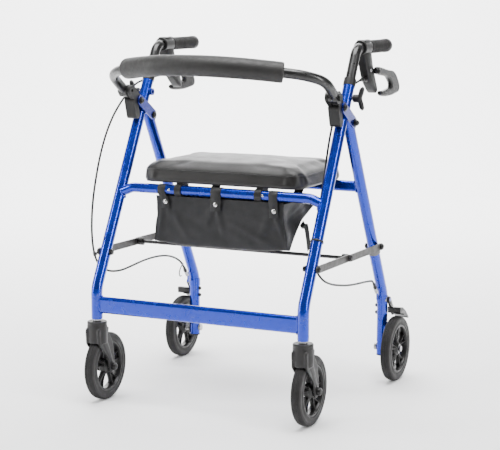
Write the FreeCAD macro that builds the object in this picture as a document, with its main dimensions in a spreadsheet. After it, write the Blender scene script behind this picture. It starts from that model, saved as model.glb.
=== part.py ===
"""Rollator walker: a folding four-wheeled walking frame with a padded seat, a pouch, a curved backrest and loop brakes.

Row frame, millimetres: X across the walker (0 is its plane of symmetry), +Y towards the person who pushes it,
+Z up, floor at Z = 0, and Y = 0 midway between the front and the rear axles.
"""

import FreeCAD, Part
import math
import os

import Sketcher
from FreeCAD import Placement, Rotation, Vector

doc = FreeCAD.newDocument("RollatorWalker")

DIMENSIONS = (
    ("wheel_diameter", 152.4, "all four wheels, outside the tyre"),
    ("wheel_base", 436.2, "front axle to rear axle, casters trailing"),
    ("tyre_width", 24, "all four tyres"),
    ("tyre_depth", 20, "tyre band, radially"),
    ("rear_wheel_place", 284, "rear wheel's middle from the plane of symmetry"),
    ("caster_trail", 32.4, "swivel axis to front axle"),
    ("leg_place", 250, "leg tubes' middle from the plane of symmetry"),
    ("leg_radius", 12.7, "leg tubes, outside"),
    ("leg_wall", 1.5, "leg tubes, wall"),
    ("leg_lean", 28.4, "front leg backwards and rear leg forwards, degrees"),
    ("leg_bend", 60, "leg tubes, bend radius of the centre line"),
    ("front_leg_low", 192, "front leg's lower end above the floor"),
    ("front_leg_corner", 258.8, "front leg's bend above the floor"),
    ("front_leg_high", 706, "front leg's upper end above the floor"),
    ("rear_leg_low", 60, "rear leg's lower end above the floor"),
    ("rear_leg_corner", 205, "rear leg's bend above the floor"),
    ("fold_pivot_high", 627, "folding pivot above the floor"),
    ("handle_radius", 11.1, "handle tube, outside"),
    ("grip_high", 787, "grips' middle above the floor"),
    ("grip_radius", 15, "grips, outside"),
    ("seat_width", 402, "seat cushion"),
    ("seat_depth", 255, "seat cushion"),
    ("seat_high", 530, "seat cushion's top above the floor"),
    ("rail_radius", 11, "seat front rail, outside"),
    ("rail_high", 474, "seat front rail's middle above the floor"),
    ("backrest_radius", 11, "backrest bar, outside"),
    ("foam_radius", 22.5, "backrest foam, outside"),
    ("foam_half_width", 186, "backrest foam's end from the plane of symmetry"),
    ("brace_tall", 16, "folding brace bars"),
    ("brace_thick", 3, "folding brace bars"),
    ("brace_front_high", 335, "folding brace's front bolt above the floor"),
    ("brace_rear_high", 329, "folding brace's rear bolt above the floor"),
    ("cable_radius", 2.5, "brake cable housing"),
)

sheet = doc.addObject("Spreadsheet::Sheet", "Dimensions")
for row, (alias, value, meaning) in enumerate(DIMENSIONS, 1):
    sheet.set(f"A{row}", meaning)
    sheet.set(f"B{row}", str(value))
    sheet.setAlias(f"B{row}", alias)
doc.recompute()


class Size:
    """A length or an angle in degrees that knows the spreadsheet formula it comes from."""

    def __init__(self, value, text=None):
        self.value = float(value)
        self.text = text or f"({value:.6f})"

    def join(self, other, sign, value):
        other = size(other)
        return Size(value(self.value, other.value), f"({self.text} {sign} {other.text})")

    def __add__(self, other):
        return self.join(other, "+", lambda a, b: a + b)

    def __sub__(self, other):
        return self.join(other, "-", lambda a, b: a - b)

    def __mul__(self, other):
        return self.join(other, "*", lambda a, b: a * b)

    def __truediv__(self, other):
        return self.join(other, "/", lambda a, b: a / b)

    def __radd__(self, other):
        return size(other) + self

    def __rsub__(self, other):
        return size(other) - self

    def __rmul__(self, other):
        return size(other) * self

    def __neg__(self):
        return size(0) - self

    def __float__(self):
        return self.value


def size(number):
    return number if isinstance(number, Size) else Size(number)


def dimension(alias):
    return Size(sheet.get(alias), f"Dimensions.{alias}")


def sine(angle):
    return Size(math.sin(math.radians(angle.value)), f"sin({angle.text} * 1deg)")


def cosine(angle):
    return Size(math.cos(math.radians(angle.value)), f"cos({angle.text} * 1deg)")


def tangent(angle):
    return Size(math.tan(math.radians(angle.value)), f"tan({angle.text} * 1deg)")


def bind(item, **sizes):
    """Ties properties to the spreadsheet; a double underscore in a name stands for a dot."""
    for name, number in sizes.items():
        item.setExpression(name.replace("__", "."), size(number).text)


# ---------------------------------------------------------------- dimensions by name

wheel_radius = dimension("wheel_diameter") / 2
half_base = dimension("wheel_base") / 2
tyre_width = dimension("tyre_width")
tyre_depth = dimension("tyre_depth")
rear_wheel_x = dimension("rear_wheel_place")
stem_y = -half_base - dimension("caster_trail")
leg_x = dimension("leg_place")
leg_radius = dimension("leg_radius")
leg_bore = leg_radius - dimension("leg_wall")
lean = dimension("leg_lean")
leg_bend = dimension("leg_bend")
front_low = dimension("front_leg_low")
front_corner = dimension("front_leg_corner")
front_high = dimension("front_leg_high")
rear_low = dimension("rear_leg_low")
rear_corner = dimension("rear_leg_corner")
pivot_z = dimension("fold_pivot_high")
handle_radius = dimension("handle_radius")
grip_z = dimension("grip_high")
grip_radius = dimension("grip_radius")
seat_width = dimension("seat_width")
seat_depth = dimension("seat_depth")
seat_top = dimension("seat_high")
rail_radius = dimension("rail_radius")
rail_z = dimension("rail_high")
backrest_radius = dimension("backrest_radius")
foam_radius = dimension("foam_radius")
brace_tall = dimension("brace_tall")
brace_thick = dimension("brace_thick")
brace_front_z = dimension("brace_front_high")
brace_rear_z = dimension("brace_rear_high")
cable_radius = dimension("cable_radius")

SIDES = (("left", -1), ("right", 1))
RUNNING = 0.05  # radial clearance of pins that turn in a bore
GAP = 0.8  # space between neighbours that move past each other


def front_leg_y(height):
    """Y of the front leg's middle line above its bend."""
    return stem_y + (height - front_corner) * tangent(lean)


def rear_leg_y(height):
    """Y of the rear leg's middle line above its bend."""
    return half_base - (height - rear_corner) * tangent(lean)


pivot_y = rear_leg_y(pivot_z)
brace_front_y = front_leg_y(brace_front_z)
brace_rear_y = rear_leg_y(brace_rear_z)
BRACE_MIDDLE_SHARE = 0.478  # of the brace's length, from its front bolt to its middle hinge
brace_middle_y = brace_front_y + (brace_rear_y - brace_front_y) * BRACE_MIDDLE_SHARE
brace_middle_z = brace_front_z + (brace_rear_z - brace_front_z) * BRACE_MIDDLE_SHARE
rail_y = front_leg_y(size(461))


# ---------------------------------------------------------------- document helpers

nodes = []


def node(item, label):
    """Makes an object one of the walker's sub-parts, named label."""
    item.Label = label
    nodes.append(item)
    return item


def add_body(name):
    return doc.addObject("PartDesign::Body", name)


def add_sketch(body, role, offset=0):
    """A sketch on one of the body's origin planes, moved along the plane's normal by offset."""
    sketch = body.newObject("Sketcher::SketchObject", f"{body.Name}_sketch")
    plane = next(f for f in body.Origin.OriginFeatures if f.Role == role)
    sketch.AttachmentSupport = [(plane, "")]
    sketch.MapMode = "FlatFace"
    sketch.AttachmentOffset = Placement(Vector(0, 0, float(offset)), Rotation())
    bind(sketch, AttachmentOffset__Base__z=offset)
    return sketch


def constrain(sketch, number, *constraint):
    index = sketch.addConstraint(Sketcher.Constraint(*constraint, float(number)))
    sketch.setExpression(f"Constraints[{index}]", size(number).text)


def fix_point(sketch, geometry, point, place):
    constrain(sketch, place[0], "DistanceX", geometry, point)
    constrain(sketch, place[1], "DistanceY", geometry, point)


def draw_circle(sketch, x, y, radius):
    centre = Vector(float(x), float(y), 0)
    index = sketch.addGeometry(Part.Circle(centre, Vector(0, 0, 1), float(radius)))
    fix_point(sketch, index, 3, (x, y))
    constrain(sketch, radius, "Radius", index)


def draw_line(sketch, first, second):
    ends = [Vector(float(x), float(y), 0) for x, y in (first, second)]
    return sketch.addGeometry(Part.LineSegment(*ends))


def draw_outline(sketch, points, closed=True):
    """Straight lines through the points."""
    count = len(points) if closed else len(points) - 1
    lines = [draw_line(sketch, points[i], points[(i + 1) % len(points)]) for i in range(count)]
    for line, point in zip(lines, points):
        fix_point(sketch, line, 1, point)
    for line, following in zip(lines, lines[1:] + (lines[:1] if closed else [])):
        sketch.addConstraint(Sketcher.Constraint("Coincident", line, 2, following, 1))
    if not closed:
        fix_point(sketch, lines[-1], 2, points[-1])


def draw_bent_line(sketch, start, corner, end, radius, turn):
    """Two straight runs joined at the corner by an arc; the path turns clockwise or not as the points say."""
    reach = radius * tangent(turn / 2)

    def along(point):
        dx, dy = float(point[0]) - float(corner[0]), float(point[1]) - float(corner[1])
        length = math.hypot(dx, dy)
        return corner[0] + reach * (dx / length), corner[1] + reach * (dy / length)

    first, second = along(start), along(end)
    first_line = draw_line(sketch, start, first)
    corner_at = Vector(float(corner[0]), float(corner[1]), 0)
    tips = [Vector(float(x), float(y), 0) for x, y in (first, second)]
    chord_middle = (tips[0] + tips[1]) / 2
    to_centre = (chord_middle - corner_at).normalize()
    centre = corner_at + to_centre * math.hypot(float(radius), float(reach))
    arc_middle = centre - to_centre * float(radius)
    arc = sketch.addGeometry(Part.Arc(tips[0], arc_middle, tips[1]))
    second_line = draw_line(sketch, second, end)
    fix_point(sketch, first_line, 1, start)
    fix_point(sketch, first_line, 2, first)
    fix_point(sketch, second_line, 1, second)
    fix_point(sketch, second_line, 2, end)
    arc_start = sketch.getPoint(arc, 1)
    near, far = (1, 2) if arc_start.distanceToPoint(tips[0]) < 1e-6 else (2, 1)
    sketch.addConstraint(Sketcher.Constraint("Coincident", arc, near, first_line, 2))
    sketch.addConstraint(Sketcher.Constraint("Coincident", arc, far, second_line, 1))
    constrain(sketch, radius, "Radius", arc)


def add_pad(body, sketch, length):
    """A pad of the given length, half of it on each side of the sketch."""
    pad = body.newObject("PartDesign::Pad", f"{body.Name}_pad")
    pad.Profile = sketch
    pad.SideType = "Symmetric"
    bind(pad, Length=length)
    return pad


def add_pocket(body, sketch, length):
    """A pocket that cuts the given length, half of it on each side of the sketch."""
    doc.recompute()
    before = body.Shape.Volume
    pocket = body.newObject("PartDesign::Pocket", f"{body.Name}_pocket")
    pocket.Profile = sketch
    pocket.SideType = "Symmetric"
    bind(pocket, Length=length)
    doc.recompute()
    assert body.Shape.Volume < before - 0.1, f"{body.Name}: a pocket cuts nothing"
    return pocket


def add_turning(body, sketch, axis="H_Axis"):
    """A revolution of the sketch about its own horizontal or vertical axis."""
    turning = body.newObject("PartDesign::Revolution", f"{body.Name}_revolution")
    turning.Profile = sketch
    turning.ReferenceAxis = (sketch, [axis])
    turning.Angle = 360
    return turning


def place(item, x=0, y=0, z=0):
    bind(item, Placement__Base__x=x, Placement__Base__y=y, Placement__Base__z=z)
    return item


def rod(x0, x1, y, z, radius, name="rod"):
    """A cylinder along X from x0 to x1."""
    low, high = (x0, x1) if float(x0) < float(x1) else (x1, x0)
    item = doc.addObject("Part::Cylinder", name)
    item.Placement = Placement(Vector(), Rotation(Vector(0, 1, 0), 90))
    bind(item, Radius=radius, Height=size(high) - low)
    return place(item, low, y, z)


def post(x, y, z0, z1, radius, name="post"):
    """A cylinder along Z from z0 to z1."""
    item = doc.addObject("Part::Cylinder", name)
    bind(item, Radius=radius, Height=size(z1) - z0)
    return place(item, x, y, z0)


def fused(name, *items):
    item = doc.addObject("Part::MultiFuse", name)
    item.Shapes = list(items)
    return item


def cut(name, base, tool):
    item = doc.addObject("Part::Cut", name)
    item.Base = base
    item.Tool = tool
    return item


def group(label, items):
    """Separate solids that share one node."""
    item = doc.addObject("Part::Compound", label)
    item.Links = list(items)
    return node(item, label)


def feature(label, shape):
    item = doc.addObject("Part::Feature", label)
    item.Shape = shape
    item.Placement = Placement()
    return item


def rounded_path(points, radii=None):
    """Straight runs joined by tangent arcs, each as large as 0.45 of its shorter run allows."""
    places = [Vector(*(float(c) for c in p)) for p in points]
    edges, used, at = [], [], places[0]
    for i in range(1, len(places) - 1):
        back, ahead = places[i - 1] - places[i], places[i + 1] - places[i]
        turn = math.pi - back.getAngle(ahead)
        reach = 0.45 * min(back.Length, ahead.Length)
        radius = reach / math.tan(turn / 2)
        if radii is not None:
            radius = min(radius, float(radii))
            reach = radius * math.tan(turn / 2)
        first = places[i] + back.normalize() * reach
        second = places[i] + ahead.normalize() * reach
        inward = ((first + second) / 2 - places[i]).normalize()
        middle = places[i] + inward * (math.hypot(radius, reach) - radius)
        edges.append(Part.LineSegment(at, first).toShape())
        edges.append(Part.Arc(first, middle, second).toShape())
        used.append(radius)
        at = second
    edges.append(Part.LineSegment(at, places[-1]).toShape())
    return Part.Wire(edges), used


def swept(points, radius, bend=None, bore=None):
    """A round bar or tube along the points, checked against its section times its length."""
    wire, radii = rounded_path(points, bend)
    start = wire.Edges[0].firstVertex().Point
    direction = wire.Edges[0].tangentAt(wire.Edges[0].FirstParameter)
    ring = Part.Wire(Part.Circle(start, direction, float(radius)).toShape())
    solid = wire.makePipeShell([ring], True, True)
    expected = math.pi * float(radius) ** 2 * wire.Length
    assert abs(solid.Volume / expected - 1) < 0.02, (solid.Volume, expected)
    if bore:
        inner = Part.Wire(Part.Circle(start, direction, float(bore)).toShape())
        solid = solid.cut(wire.makePipeShell([inner], True, True))
    return solid, wire.Length, radii


# ---------------------------------------------------------------- front frame

def front_leg(name, side):
    """Tube with one bend: upright over the caster, then leaning back to its open upper end."""
    body = add_body(f"front_leg_{name}")
    path = add_sketch(body, "YZ_Plane")
    top = (front_leg_y(front_high), front_high)
    draw_bent_line(path, (stem_y, front_low), (stem_y, front_corner), top, leg_bend, lean)
    section = add_sketch(body, "XY_Plane", front_low)
    draw_circle(section, 0, stem_y, leg_radius)
    draw_circle(section, 0, stem_y, leg_bore)
    pipe = body.newObject("PartDesign::AdditivePipe", f"{body.Name}_pipe")
    pipe.Profile = section
    pipe.Spine = path
    place(body, side * leg_x)
    return node(body, body.Name)


def rear_leg(name, side):
    """Tube with one bend: upright beside the rear wheel, then leaning forward to the folding pivot."""
    body = add_body(f"rear_leg_{name}")
    path = add_sketch(body, "YZ_Plane")
    end_z = pivot_z + 9
    draw_bent_line(path, (half_base, rear_low), (half_base, rear_corner), (rear_leg_y(end_z), end_z), leg_bend, lean)
    section = add_sketch(body, "XY_Plane", rear_low)
    draw_circle(section, 0, half_base, leg_radius)
    draw_circle(section, 0, half_base, leg_bore)
    pipe = body.newObject("PartDesign::AdditivePipe", f"{body.Name}_pipe")
    pipe.Profile = section
    pipe.Spine = path
    for y, z, radius in (
        (pivot_y, pivot_z, PIVOT_PIN + RUNNING),
        (brace_rear_y, brace_rear_z, size(BRACE_PIN)),
        (half_base, wheel_radius, size(AXLE)),
    ):
        hole = add_sketch(body, "YZ_Plane")
        draw_circle(hole, y, z, radius)
        add_pocket(body, hole, 4 * leg_radius)
    place(body, side * leg_x)
    return node(body, body.Name)


AXLE = 5  # wheel axles' radius
PIVOT_PIN = 4.9  # folding pivot bolts' radius
BRACE_PIN = 3  # folding brace bolts' radius


def front_crossbar():
    """Flattened tube between the front legs, just above their lower ends; its ends are coped to the legs."""
    tall, deep, z = 38, 15, 223
    body = add_body("front_crossbar")
    sketch = add_sketch(body, "YZ_Plane")
    slot_outline(sketch, (stem_y, z - (tall - deep) / 2), (stem_y, z + (tall - deep) / 2), size(deep / 2))
    add_pad(body, sketch, 2 * leg_x)
    bore = add_sketch(body, "YZ_Plane")
    slot_outline(bore, (stem_y, z - (tall - deep) / 2), (stem_y, z + (tall - deep) / 2), size(deep / 2 - 1.5))
    add_pocket(body, bore, 2 * leg_x + 2)
    for side in (-1, 1):
        cope = add_sketch(body, "XY_Plane", size(z))
        draw_circle(cope, side * leg_x, stem_y, leg_radius)
        add_pocket(body, cope, 3 * tall)
    return node(body, "front_crossbar")


def slot_outline(sketch, first, second, radius):
    """A bar with round ends about two upright points, drawn as two lines and two arcs."""
    (y, low), (_, high) = first, second
    left, right = y - radius, y + radius
    lines = []
    for x, start, end in ((left, low, high), (right, high, low)):
        line = draw_line(sketch, (x, start), (x, end))
        fix_point(sketch, line, 1, (x, start))
        fix_point(sketch, line, 2, (x, end))
        lines.append(line)
    for z, sign, (a, a_end), (b, b_end) in (
        (high, 1, (lines[0], 2), (lines[1], 1)),
        (low, -1, (lines[1], 2), (lines[0], 1)),
    ):
        ends = [sketch.getPoint(a, a_end), sketch.getPoint(b, b_end)]
        crown = Vector(float(y), float(z) + sign * float(radius), 0)
        arc = sketch.addGeometry(Part.Arc(ends[0], crown, ends[1]))
        near, far = (1, 2) if sketch.getPoint(arc, 1).distanceToPoint(ends[0]) < 1e-6 else (2, 1)
        sketch.addConstraint(Sketcher.Constraint("Coincident", arc, near, a, a_end))
        sketch.addConstraint(Sketcher.Constraint("Coincident", arc, far, b, b_end))
        constrain(sketch, z, "DistanceY", arc, 3)


def leg_core(side, front=True):
    """Solid bar as thick as a leg, used to cope the tubes that meet it."""
    if front:
        points = [(stem_y, front_low), (front_leg_y(front_corner), front_corner), (front_leg_y(front_high), front_high)]
    else:
        points = [(half_base, rear_low), (half_base, rear_corner), (pivot_y, pivot_z)]
    route = [(side * float(leg_x), float(y), float(z)) for y, z in points]
    return swept(route, leg_radius, leg_bend)[0]


def seat_front_rail():
    """Bent tube between the front legs that carries the seat's front edge and the pouch."""
    bend_x, end_drop = 218, 13
    route = [
        (-leg_x, rail_y, rail_z - end_drop),
        (-bend_x, rail_y, rail_z),
        (bend_x, rail_y, rail_z),
        (leg_x, rail_y, rail_z - end_drop),
    ]
    solid = swept(route, rail_radius, 34, rail_radius - 1.5)[0]
    for side in (-1, 1):
        solid = solid.cut(leg_core(side))
    return node(feature("seat_front_rail", largest(solid)), "seat_front_rail")


def rear_crossbar():
    """Flattened tube between the rear legs, just under the seat board that rests on it."""
    tall, thick, wall, z = 25, 15, 1.5, 476.5
    middle = Vector(-float(leg_x), float(rear_leg_y(size(z))), z)
    half = (tall - thick) / 2
    solids = []
    for radius in (thick / 2, thick / 2 - wall):
        deep, high = Vector(0, radius, 0), Vector(0, 0, radius)
        upper, lower = middle + Vector(0, 0, half), middle - Vector(0, 0, half)
        outline = Part.Wire([
            Part.Arc(upper - deep, upper + high, upper + deep).toShape(),
            Part.LineSegment(upper + deep, lower + deep).toShape(),
            Part.Arc(lower + deep, lower - high, lower - deep).toShape(),
            Part.LineSegment(lower - deep, upper - deep).toShape(),
        ])
        solids.append(Part.Face(outline).extrude(Vector(2 * float(leg_x), 0, 0)))
    solid = solids[0].cut(solids[1])
    for side in (-1, 1):
        solid = solid.cut(leg_core(side, front=False))
    return node(feature("rear_crossbar", largest(solid)), "rear_crossbar")


def largest(shape):
    return max(shape.Solids, key=lambda s: s.Volume)


UPPER_BOLT = (-69, 664)  # Y and Z of the bolt that holds the backrest bracket
PLATE_INNER = 13  # bracket plates' inner faces from the leg's middle
PLATE_THICK = 2.5
BRACKET_HALF = 12.5  # backrest bracket, half its width between the plates


def link_plate(name, x, thick, first, second, radius):
    """A flat plate across X with round ends about two points, as thick as given."""
    (y0, z0), (y1, z1) = [(float(a), float(b)) for a, b in (first, second)]
    length = math.hypot(y1 - y0, z1 - z0)
    slope = math.degrees(math.atan2(z1 - z0, y1 - y0))
    bar = doc.addObject("Part::Box", f"{name}_bar")
    bind(bar, Length=thick, Width=length, Height=2 * size(radius))
    bar.Placement = Placement(
        Vector(float(x), y0, z0), Rotation(Vector(1, 0, 0), slope)
    ).multiply(Placement(Vector(0, 0, -float(radius)), Rotation()))
    far = size(x) + thick
    ends = [rod(x, far, y, z, radius, f"{name}_end") for y, z in ((y0, z0), (y1, z1))]
    return fused(name, bar, *ends)


def pivot_brackets():
    """Two plates on each front leg, inside and outside, that carry the rear leg and the backrest bracket."""
    plates = []
    for side_name, side in SIDES:
        for where in (-1, 1):
            offset = PLATE_INNER if where > 0 else -PLATE_INNER - PLATE_THICK
            x = side * leg_x + offset
            name = f"plate_{side_name}_{'outer' if where * side > 0 else 'inner'}"
            plate = link_plate(name, x, PLATE_THICK, UPPER_BOLT, (pivot_y, pivot_z), 12.5)
            holes = [
                rod(x - 1, x + PLATE_THICK + 1, y, z, r, f"{name}_hole")
                for y, z, r in ((*UPPER_BOLT, BRACE_PIN), (pivot_y, pivot_z, PIVOT_PIN))
            ]
            plates.append(cut(f"{name}_drilled", plate, fused(f"{name}_holes", *holes)))
    return group("pivot_brackets", plates)


def bolt(x0, x1, y, z, radius, head, head_thick, nut_thick, name):
    """A bolt along X: a shank from x0 to x1 with a domed head past x1 and a nut past x0."""
    direction = 1 if float(x1) > float(x0) else -1
    shank = rod(x0, x1, y, z, radius, f"{name}_shank")
    cap = rod(x1, size(x1) + direction * head_thick * 0.6, y, z, head, f"{name}_cap")
    dome = doc.addObject("Part::Cone", f"{name}_dome")
    dome.Placement = Placement(Vector(), Rotation(Vector(0, 1, 0), 90 * direction))
    bind(dome, Radius1=head, Radius2=size(head) * 0.6, Height=head_thick * 0.4)
    place(dome, size(x1) + direction * head_thick * 0.6, y, z)
    nut = doc.addObject("Part::Prism", f"{name}_nut")
    nut.Polygon = 6
    nut.Placement = Placement(Vector(), Rotation(Vector(0, 1, 0), -90 * direction))
    bind(nut, Circumradius=head, Height=nut_thick)
    place(nut, x0, y, z)
    return fused(name, shank, cap, dome, nut)


def frame_bolts():
    """Bolts through the front legs' plates, the folding braces' front bolts and the backrest's hinge pins."""
    bolts = []
    for name, side in SIDES:
        inner = side * (leg_x - PLATE_INNER - PLATE_THICK)
        outer = side * (leg_x + PLATE_INNER + PLATE_THICK)
        bolts.append(bolt(inner, outer, *UPPER_BOLT, size(BRACE_PIN), 6, 4, 4, f"upper_bolt_{name}"))
        bolts.append(bolt(inner, outer, pivot_y, pivot_z, size(PIVOT_PIN), 6.5, 9, 3, f"pivot_bolt_{name}"))
        bolts.append(
            bolt(
                side * (leg_x - leg_radius),
                side * (brace_inner + brace_thick + 0.3),
                brace_front_y,
                brace_front_z,
                size(BRACE_PIN),
                6,
                3,
                3,
                f"brace_front_bolt_{name}",
            )
        )
        pin_start = side * (leg_x - BRACKET_HALF)
        bolts.append(rod(pin_start, side * 259.6, *BACKREST_PIVOT, BACKREST_PIN, f"backrest_pin_{name}"))
    return group("frame_bolts", bolts)


brace_inner = leg_x + leg_radius + GAP  # inner face of the folding brace's front half


def drilled_leg(body):
    """Drills a front leg for its brace bolt."""
    hole = add_sketch(body, "YZ_Plane")
    draw_circle(hole, brace_front_y, brace_front_z, size(BRACE_PIN))
    add_pocket(body, hole, 4 * leg_radius)


def leg_collars():
    """Plastic bushes on the front legs' open ends that guide the handle tubes."""
    collars = []
    for name, side in SIDES:
        solids = []
        for radius in (13.6, float(leg_bore)):
            ring = doc.addObject("Part::Cylinder", f"collar_{name}")
            ring.Placement = Placement(Vector(), Rotation(Vector(1, 0, 0), -float(lean)))
            bind(ring, Radius=radius, Height=17)
            place(ring, side * leg_x, front_leg_y(front_high), front_high)
            solids.append(ring)
        collars.append(cut(f"collar_{name}_ring", *solids))
    return group("leg_collars", collars)


def caster_cups():
    """Bearing cups pressed into the front legs' lower ends, each with a flange under the tube."""
    cups = []
    for name, side in SIDES:
        x = side * leg_x
        plug = post(x, stem_y, front_low, front_low + 26, leg_bore, f"cup_plug_{name}")
        flange = post(x, stem_y, front_low - 1.5, front_low, leg_radius - 0.5, f"cup_flange_{name}")
        bore = post(x, stem_y, front_low - 4, front_low + 27, STEM + RUNNING, f"cup_bore_{name}")
        cups.append(cut(f"cup_{name}", fused(f"cup_body_{name}", plug, flange), bore))
    return group("caster_cups", cups)


STEM = 6  # caster stems' radius


KNOB_HIGH = 681  # height of the adjusting knobs' axes
KNOB_SCREW = 4


def across_leg(name, side, start, length, radius):
    """A cylinder on an adjusting knob's axis, from start outboard of the leg's middle (inboard if negative)."""
    low = side * (leg_x + start)
    return rod(low, low + side * length, front_leg_y(size(KNOB_HIGH)), KNOB_HIGH, radius, name)


def tilted_cylinder(name, foot, direction, start, length, radius):
    item = doc.addObject("Part::Cylinder", name)
    bind(item, Radius=radius, Height=length)
    item.Placement = Placement(foot + direction * float(start), Rotation(Vector(0, 0, 1), direction))
    return item


def knob_nuts():
    """Bosses welded to the front legs' inner sides, opposite the height-adjusting knobs."""
    nuts = []
    for name, side in SIDES:
        boss = across_leg(f"nut_boss_{name}", side, -20, 20, 8)
        hole = across_leg(f"nut_hole_{name}", side, -21, 22, KNOB_SCREW)
        foot = Vector(side * float(leg_x), float(front_leg_y(size(KNOB_HIGH))), KNOB_HIGH)
        angle = math.radians(float(lean))
        upward = Vector(0, math.sin(angle), math.cos(angle))
        leg = tilted_cylinder(f"nut_cope_{name}", foot, upward, -40, 80, leg_radius)
        nuts.append(cut(f"nut_{name}", boss, fused(f"nut_tools_{name}", hole, leg)))
    return group("knob_nuts", nuts)


BACKREST_PIVOT = (-104, 688)  # Y and Z of the backrest's hinge
EYE_INNER = 246.4  # backrest bar's end eyes, from the plane of symmetry
EYE_OUTER = 266.4
BACKREST_PIN = 4


def backrest_brackets():
    """Moulded brackets between the plates that carry the backrest's hinge pins."""
    brackets = []
    for name, side in SIDES:
        foot = link_plate(
            f"backrest_foot_{name}", side * leg_x - BRACKET_HALF, 2 * BRACKET_HALF, UPPER_BOLT, (-84, 676), 11
        )
        inner = side * (leg_x - BRACKET_HALF)
        outer = side * (EYE_INNER - 0.4)
        ear_low = inner if side > 0 else outer
        ear = link_plate(
            f"backrest_ear_{name}", ear_low, abs(float(outer) - float(inner)), UPPER_BOLT, BACKREST_PIVOT, 12
        )
        arm = link_plate(
            f"backrest_arm_{name}", side * leg_x - BRACKET_HALF, 2 * BRACKET_HALF, (-88, 664), (-79, 632), 9
        )
        eye_space = rod(side * (EYE_INNER - 0.4), side * 275, *BACKREST_PIVOT, 17, f"eye_space_{name}")
        holes = [
            rod(side * 230, side * 270, *UPPER_BOLT, BRACE_PIN, f"bracket_hole_{name}"),
            rod(side * 230, side * 270, *BACKREST_PIVOT, BACKREST_PIN, f"bracket_pin_hole_{name}"),
        ]
        solid = fused(f"backrest_solid_{name}", foot, ear, arm)
        brackets.append(cut(f"backrest_bracket_{name}", solid, fused(f"bracket_tools_{name}", eye_space, *holes)))
    return group("backrest_brackets", brackets)


# ---------------------------------------------------------------- rear frame

def rear_leg_plugs():
    """Plastic plugs in the rear legs' lower ends."""
    plugs = []
    for name, side in SIDES:
        x = side * leg_x
        stub = post(x, half_base, rear_low, rear_low + 8, leg_bore, f"plug_stub_{name}")
        flange = post(x, half_base, rear_low - 3, rear_low, leg_radius, f"plug_flange_{name}")
        plugs.append(fused(f"plug_{name}", stub, flange))
    return group("rear_leg_plugs", plugs)


def brace_saddles():
    """Bands round the rear legs just under the folding braces' rear bolts."""
    saddles = []
    for name, side in SIDES:
        middle_z = brace_rear_z - 12
        foot = Vector(side * float(leg_x), float(rear_leg_y(middle_z)), float(middle_z))
        angle = math.radians(float(lean))
        direction = Vector(0, -math.sin(angle), math.cos(angle))
        outer = tilted_cylinder(f"saddle_outer_{name}", foot, direction, -5.5, 11, leg_radius + 1.6)
        inner = tilted_cylinder(f"saddle_inner_{name}", foot, direction, -6.5, 13, leg_radius)
        saddles.append(cut(f"saddle_{name}", outer, inner))
    return group("brace_saddles", saddles)


def brace_rear_bolts():
    """Bolts with domed caps that hold the folding braces to the rear legs."""
    bolts = [
        bolt(
            side * (leg_x - leg_radius),
            side * (brace_outer + brace_thick + 0.3),
            brace_rear_y,
            brace_rear_z,
            size(BRACE_PIN),
            6.5,
            5,
            5,
            f"brace_rear_bolt_{name}",
        )
        for name, side in SIDES
    ]
    return group("brace_rear_bolts", bolts)


brace_outer = brace_inner + brace_thick + GAP  # inner face of the folding brace's rear half


def rear_axles():
    """Axle bolts through the rear legs, each with a spacer between leg and wheel and a nut outside."""
    axles = []
    for name, side in SIDES:
        inner = side * (leg_x - leg_radius)
        end = side * (rear_wheel_x + 11)
        shank = rod(inner, end, half_base, wheel_radius, AXLE, f"axle_shank_{name}")
        head = rod(side * (leg_x - leg_radius - 5), inner, half_base, wheel_radius, 8, f"axle_head_{name}")
        spacer = rod(side * (leg_x + leg_radius), side * (rear_wheel_x - 13), half_base, wheel_radius, 8, f"spacer_{name}")
        nut = rod(end, side * (rear_wheel_x + 14.5), half_base, wheel_radius, 7, f"axle_nut_{name}")
        axle = fused(f"rear_axle_{name}", shank, head, spacer, nut)
        axles.append(cut(f"rear_axle_cut_{name}", axle, leg_shell(side)))
    return group("rear_axles", axles)


def leg_shell(side):
    """Rear leg's wall near the axle, cut out of the axle's head and spacer where they bear on the round tube."""
    outer = post(side * leg_x, half_base, rear_low, 130, leg_radius, "axle_cope_outer")
    inner = post(side * leg_x, half_base, rear_low - 1, 131, leg_bore, "axle_cope_inner")
    ring = cut("axle_cope_ring", outer, inner)
    hole = rod(side * (leg_x - 20), side * (leg_x + 20), half_base, wheel_radius, AXLE, "axle_cope_hole")
    return cut("axle_cope", ring, hole)


BRAKE_PIVOT = (218.1, 192)  # Y and Z of the brake arm's pin
BRAKE_ARM_INNER = 264.5
BRAKE_ARM_THICK = 5
SHOE_END = 297  # outer end of the brake arm's shoe


def brake_brackets():
    """Bands on the rear legs with a pin for the brake arm and an ear for the cable's adjuster."""
    brackets = []
    for name, side in SIDES:
        y, z = BRAKE_PIVOT
        band_outer = post(side * leg_x, half_base, z - 9, z + 9, leg_radius + 1.5, f"brake_band_outer_{name}")
        band_inner = post(side * leg_x, half_base, z - 10, z + 10, leg_radius, f"brake_band_inner_{name}")
        band = cut(f"brake_band_{name}", band_outer, band_inner)
        ear = doc.addObject("Part::Box", f"brake_ear_{name}")
        bind(ear, Length=4, Width=23.6, Height=24)
        place(ear, side * leg_x - 2, half_base - leg_radius - 24.1, z + 5)
        ear_space = post(side * leg_x, half_base, z - 10, z + 40, leg_radius, f"brake_ear_space_{name}")
        trimmed = cut(f"brake_ear_trimmed_{name}", ear, ear_space)
        pin = rod(side * (leg_x + leg_radius + 0.8), side * (BRAKE_ARM_INNER + BRAKE_ARM_THICK + 0.4), y, z, 4, f"brake_pin_{name}")
        boss = rod(side * (leg_x + leg_radius + 0.8), side * (BRAKE_ARM_INNER - 0.3), y, z, 7, f"brake_boss_{name}")
        brackets.append(fused(f"brake_bracket_{name}", band, trimmed, pin, boss))
    return group("brake_brackets", brackets)


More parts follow.
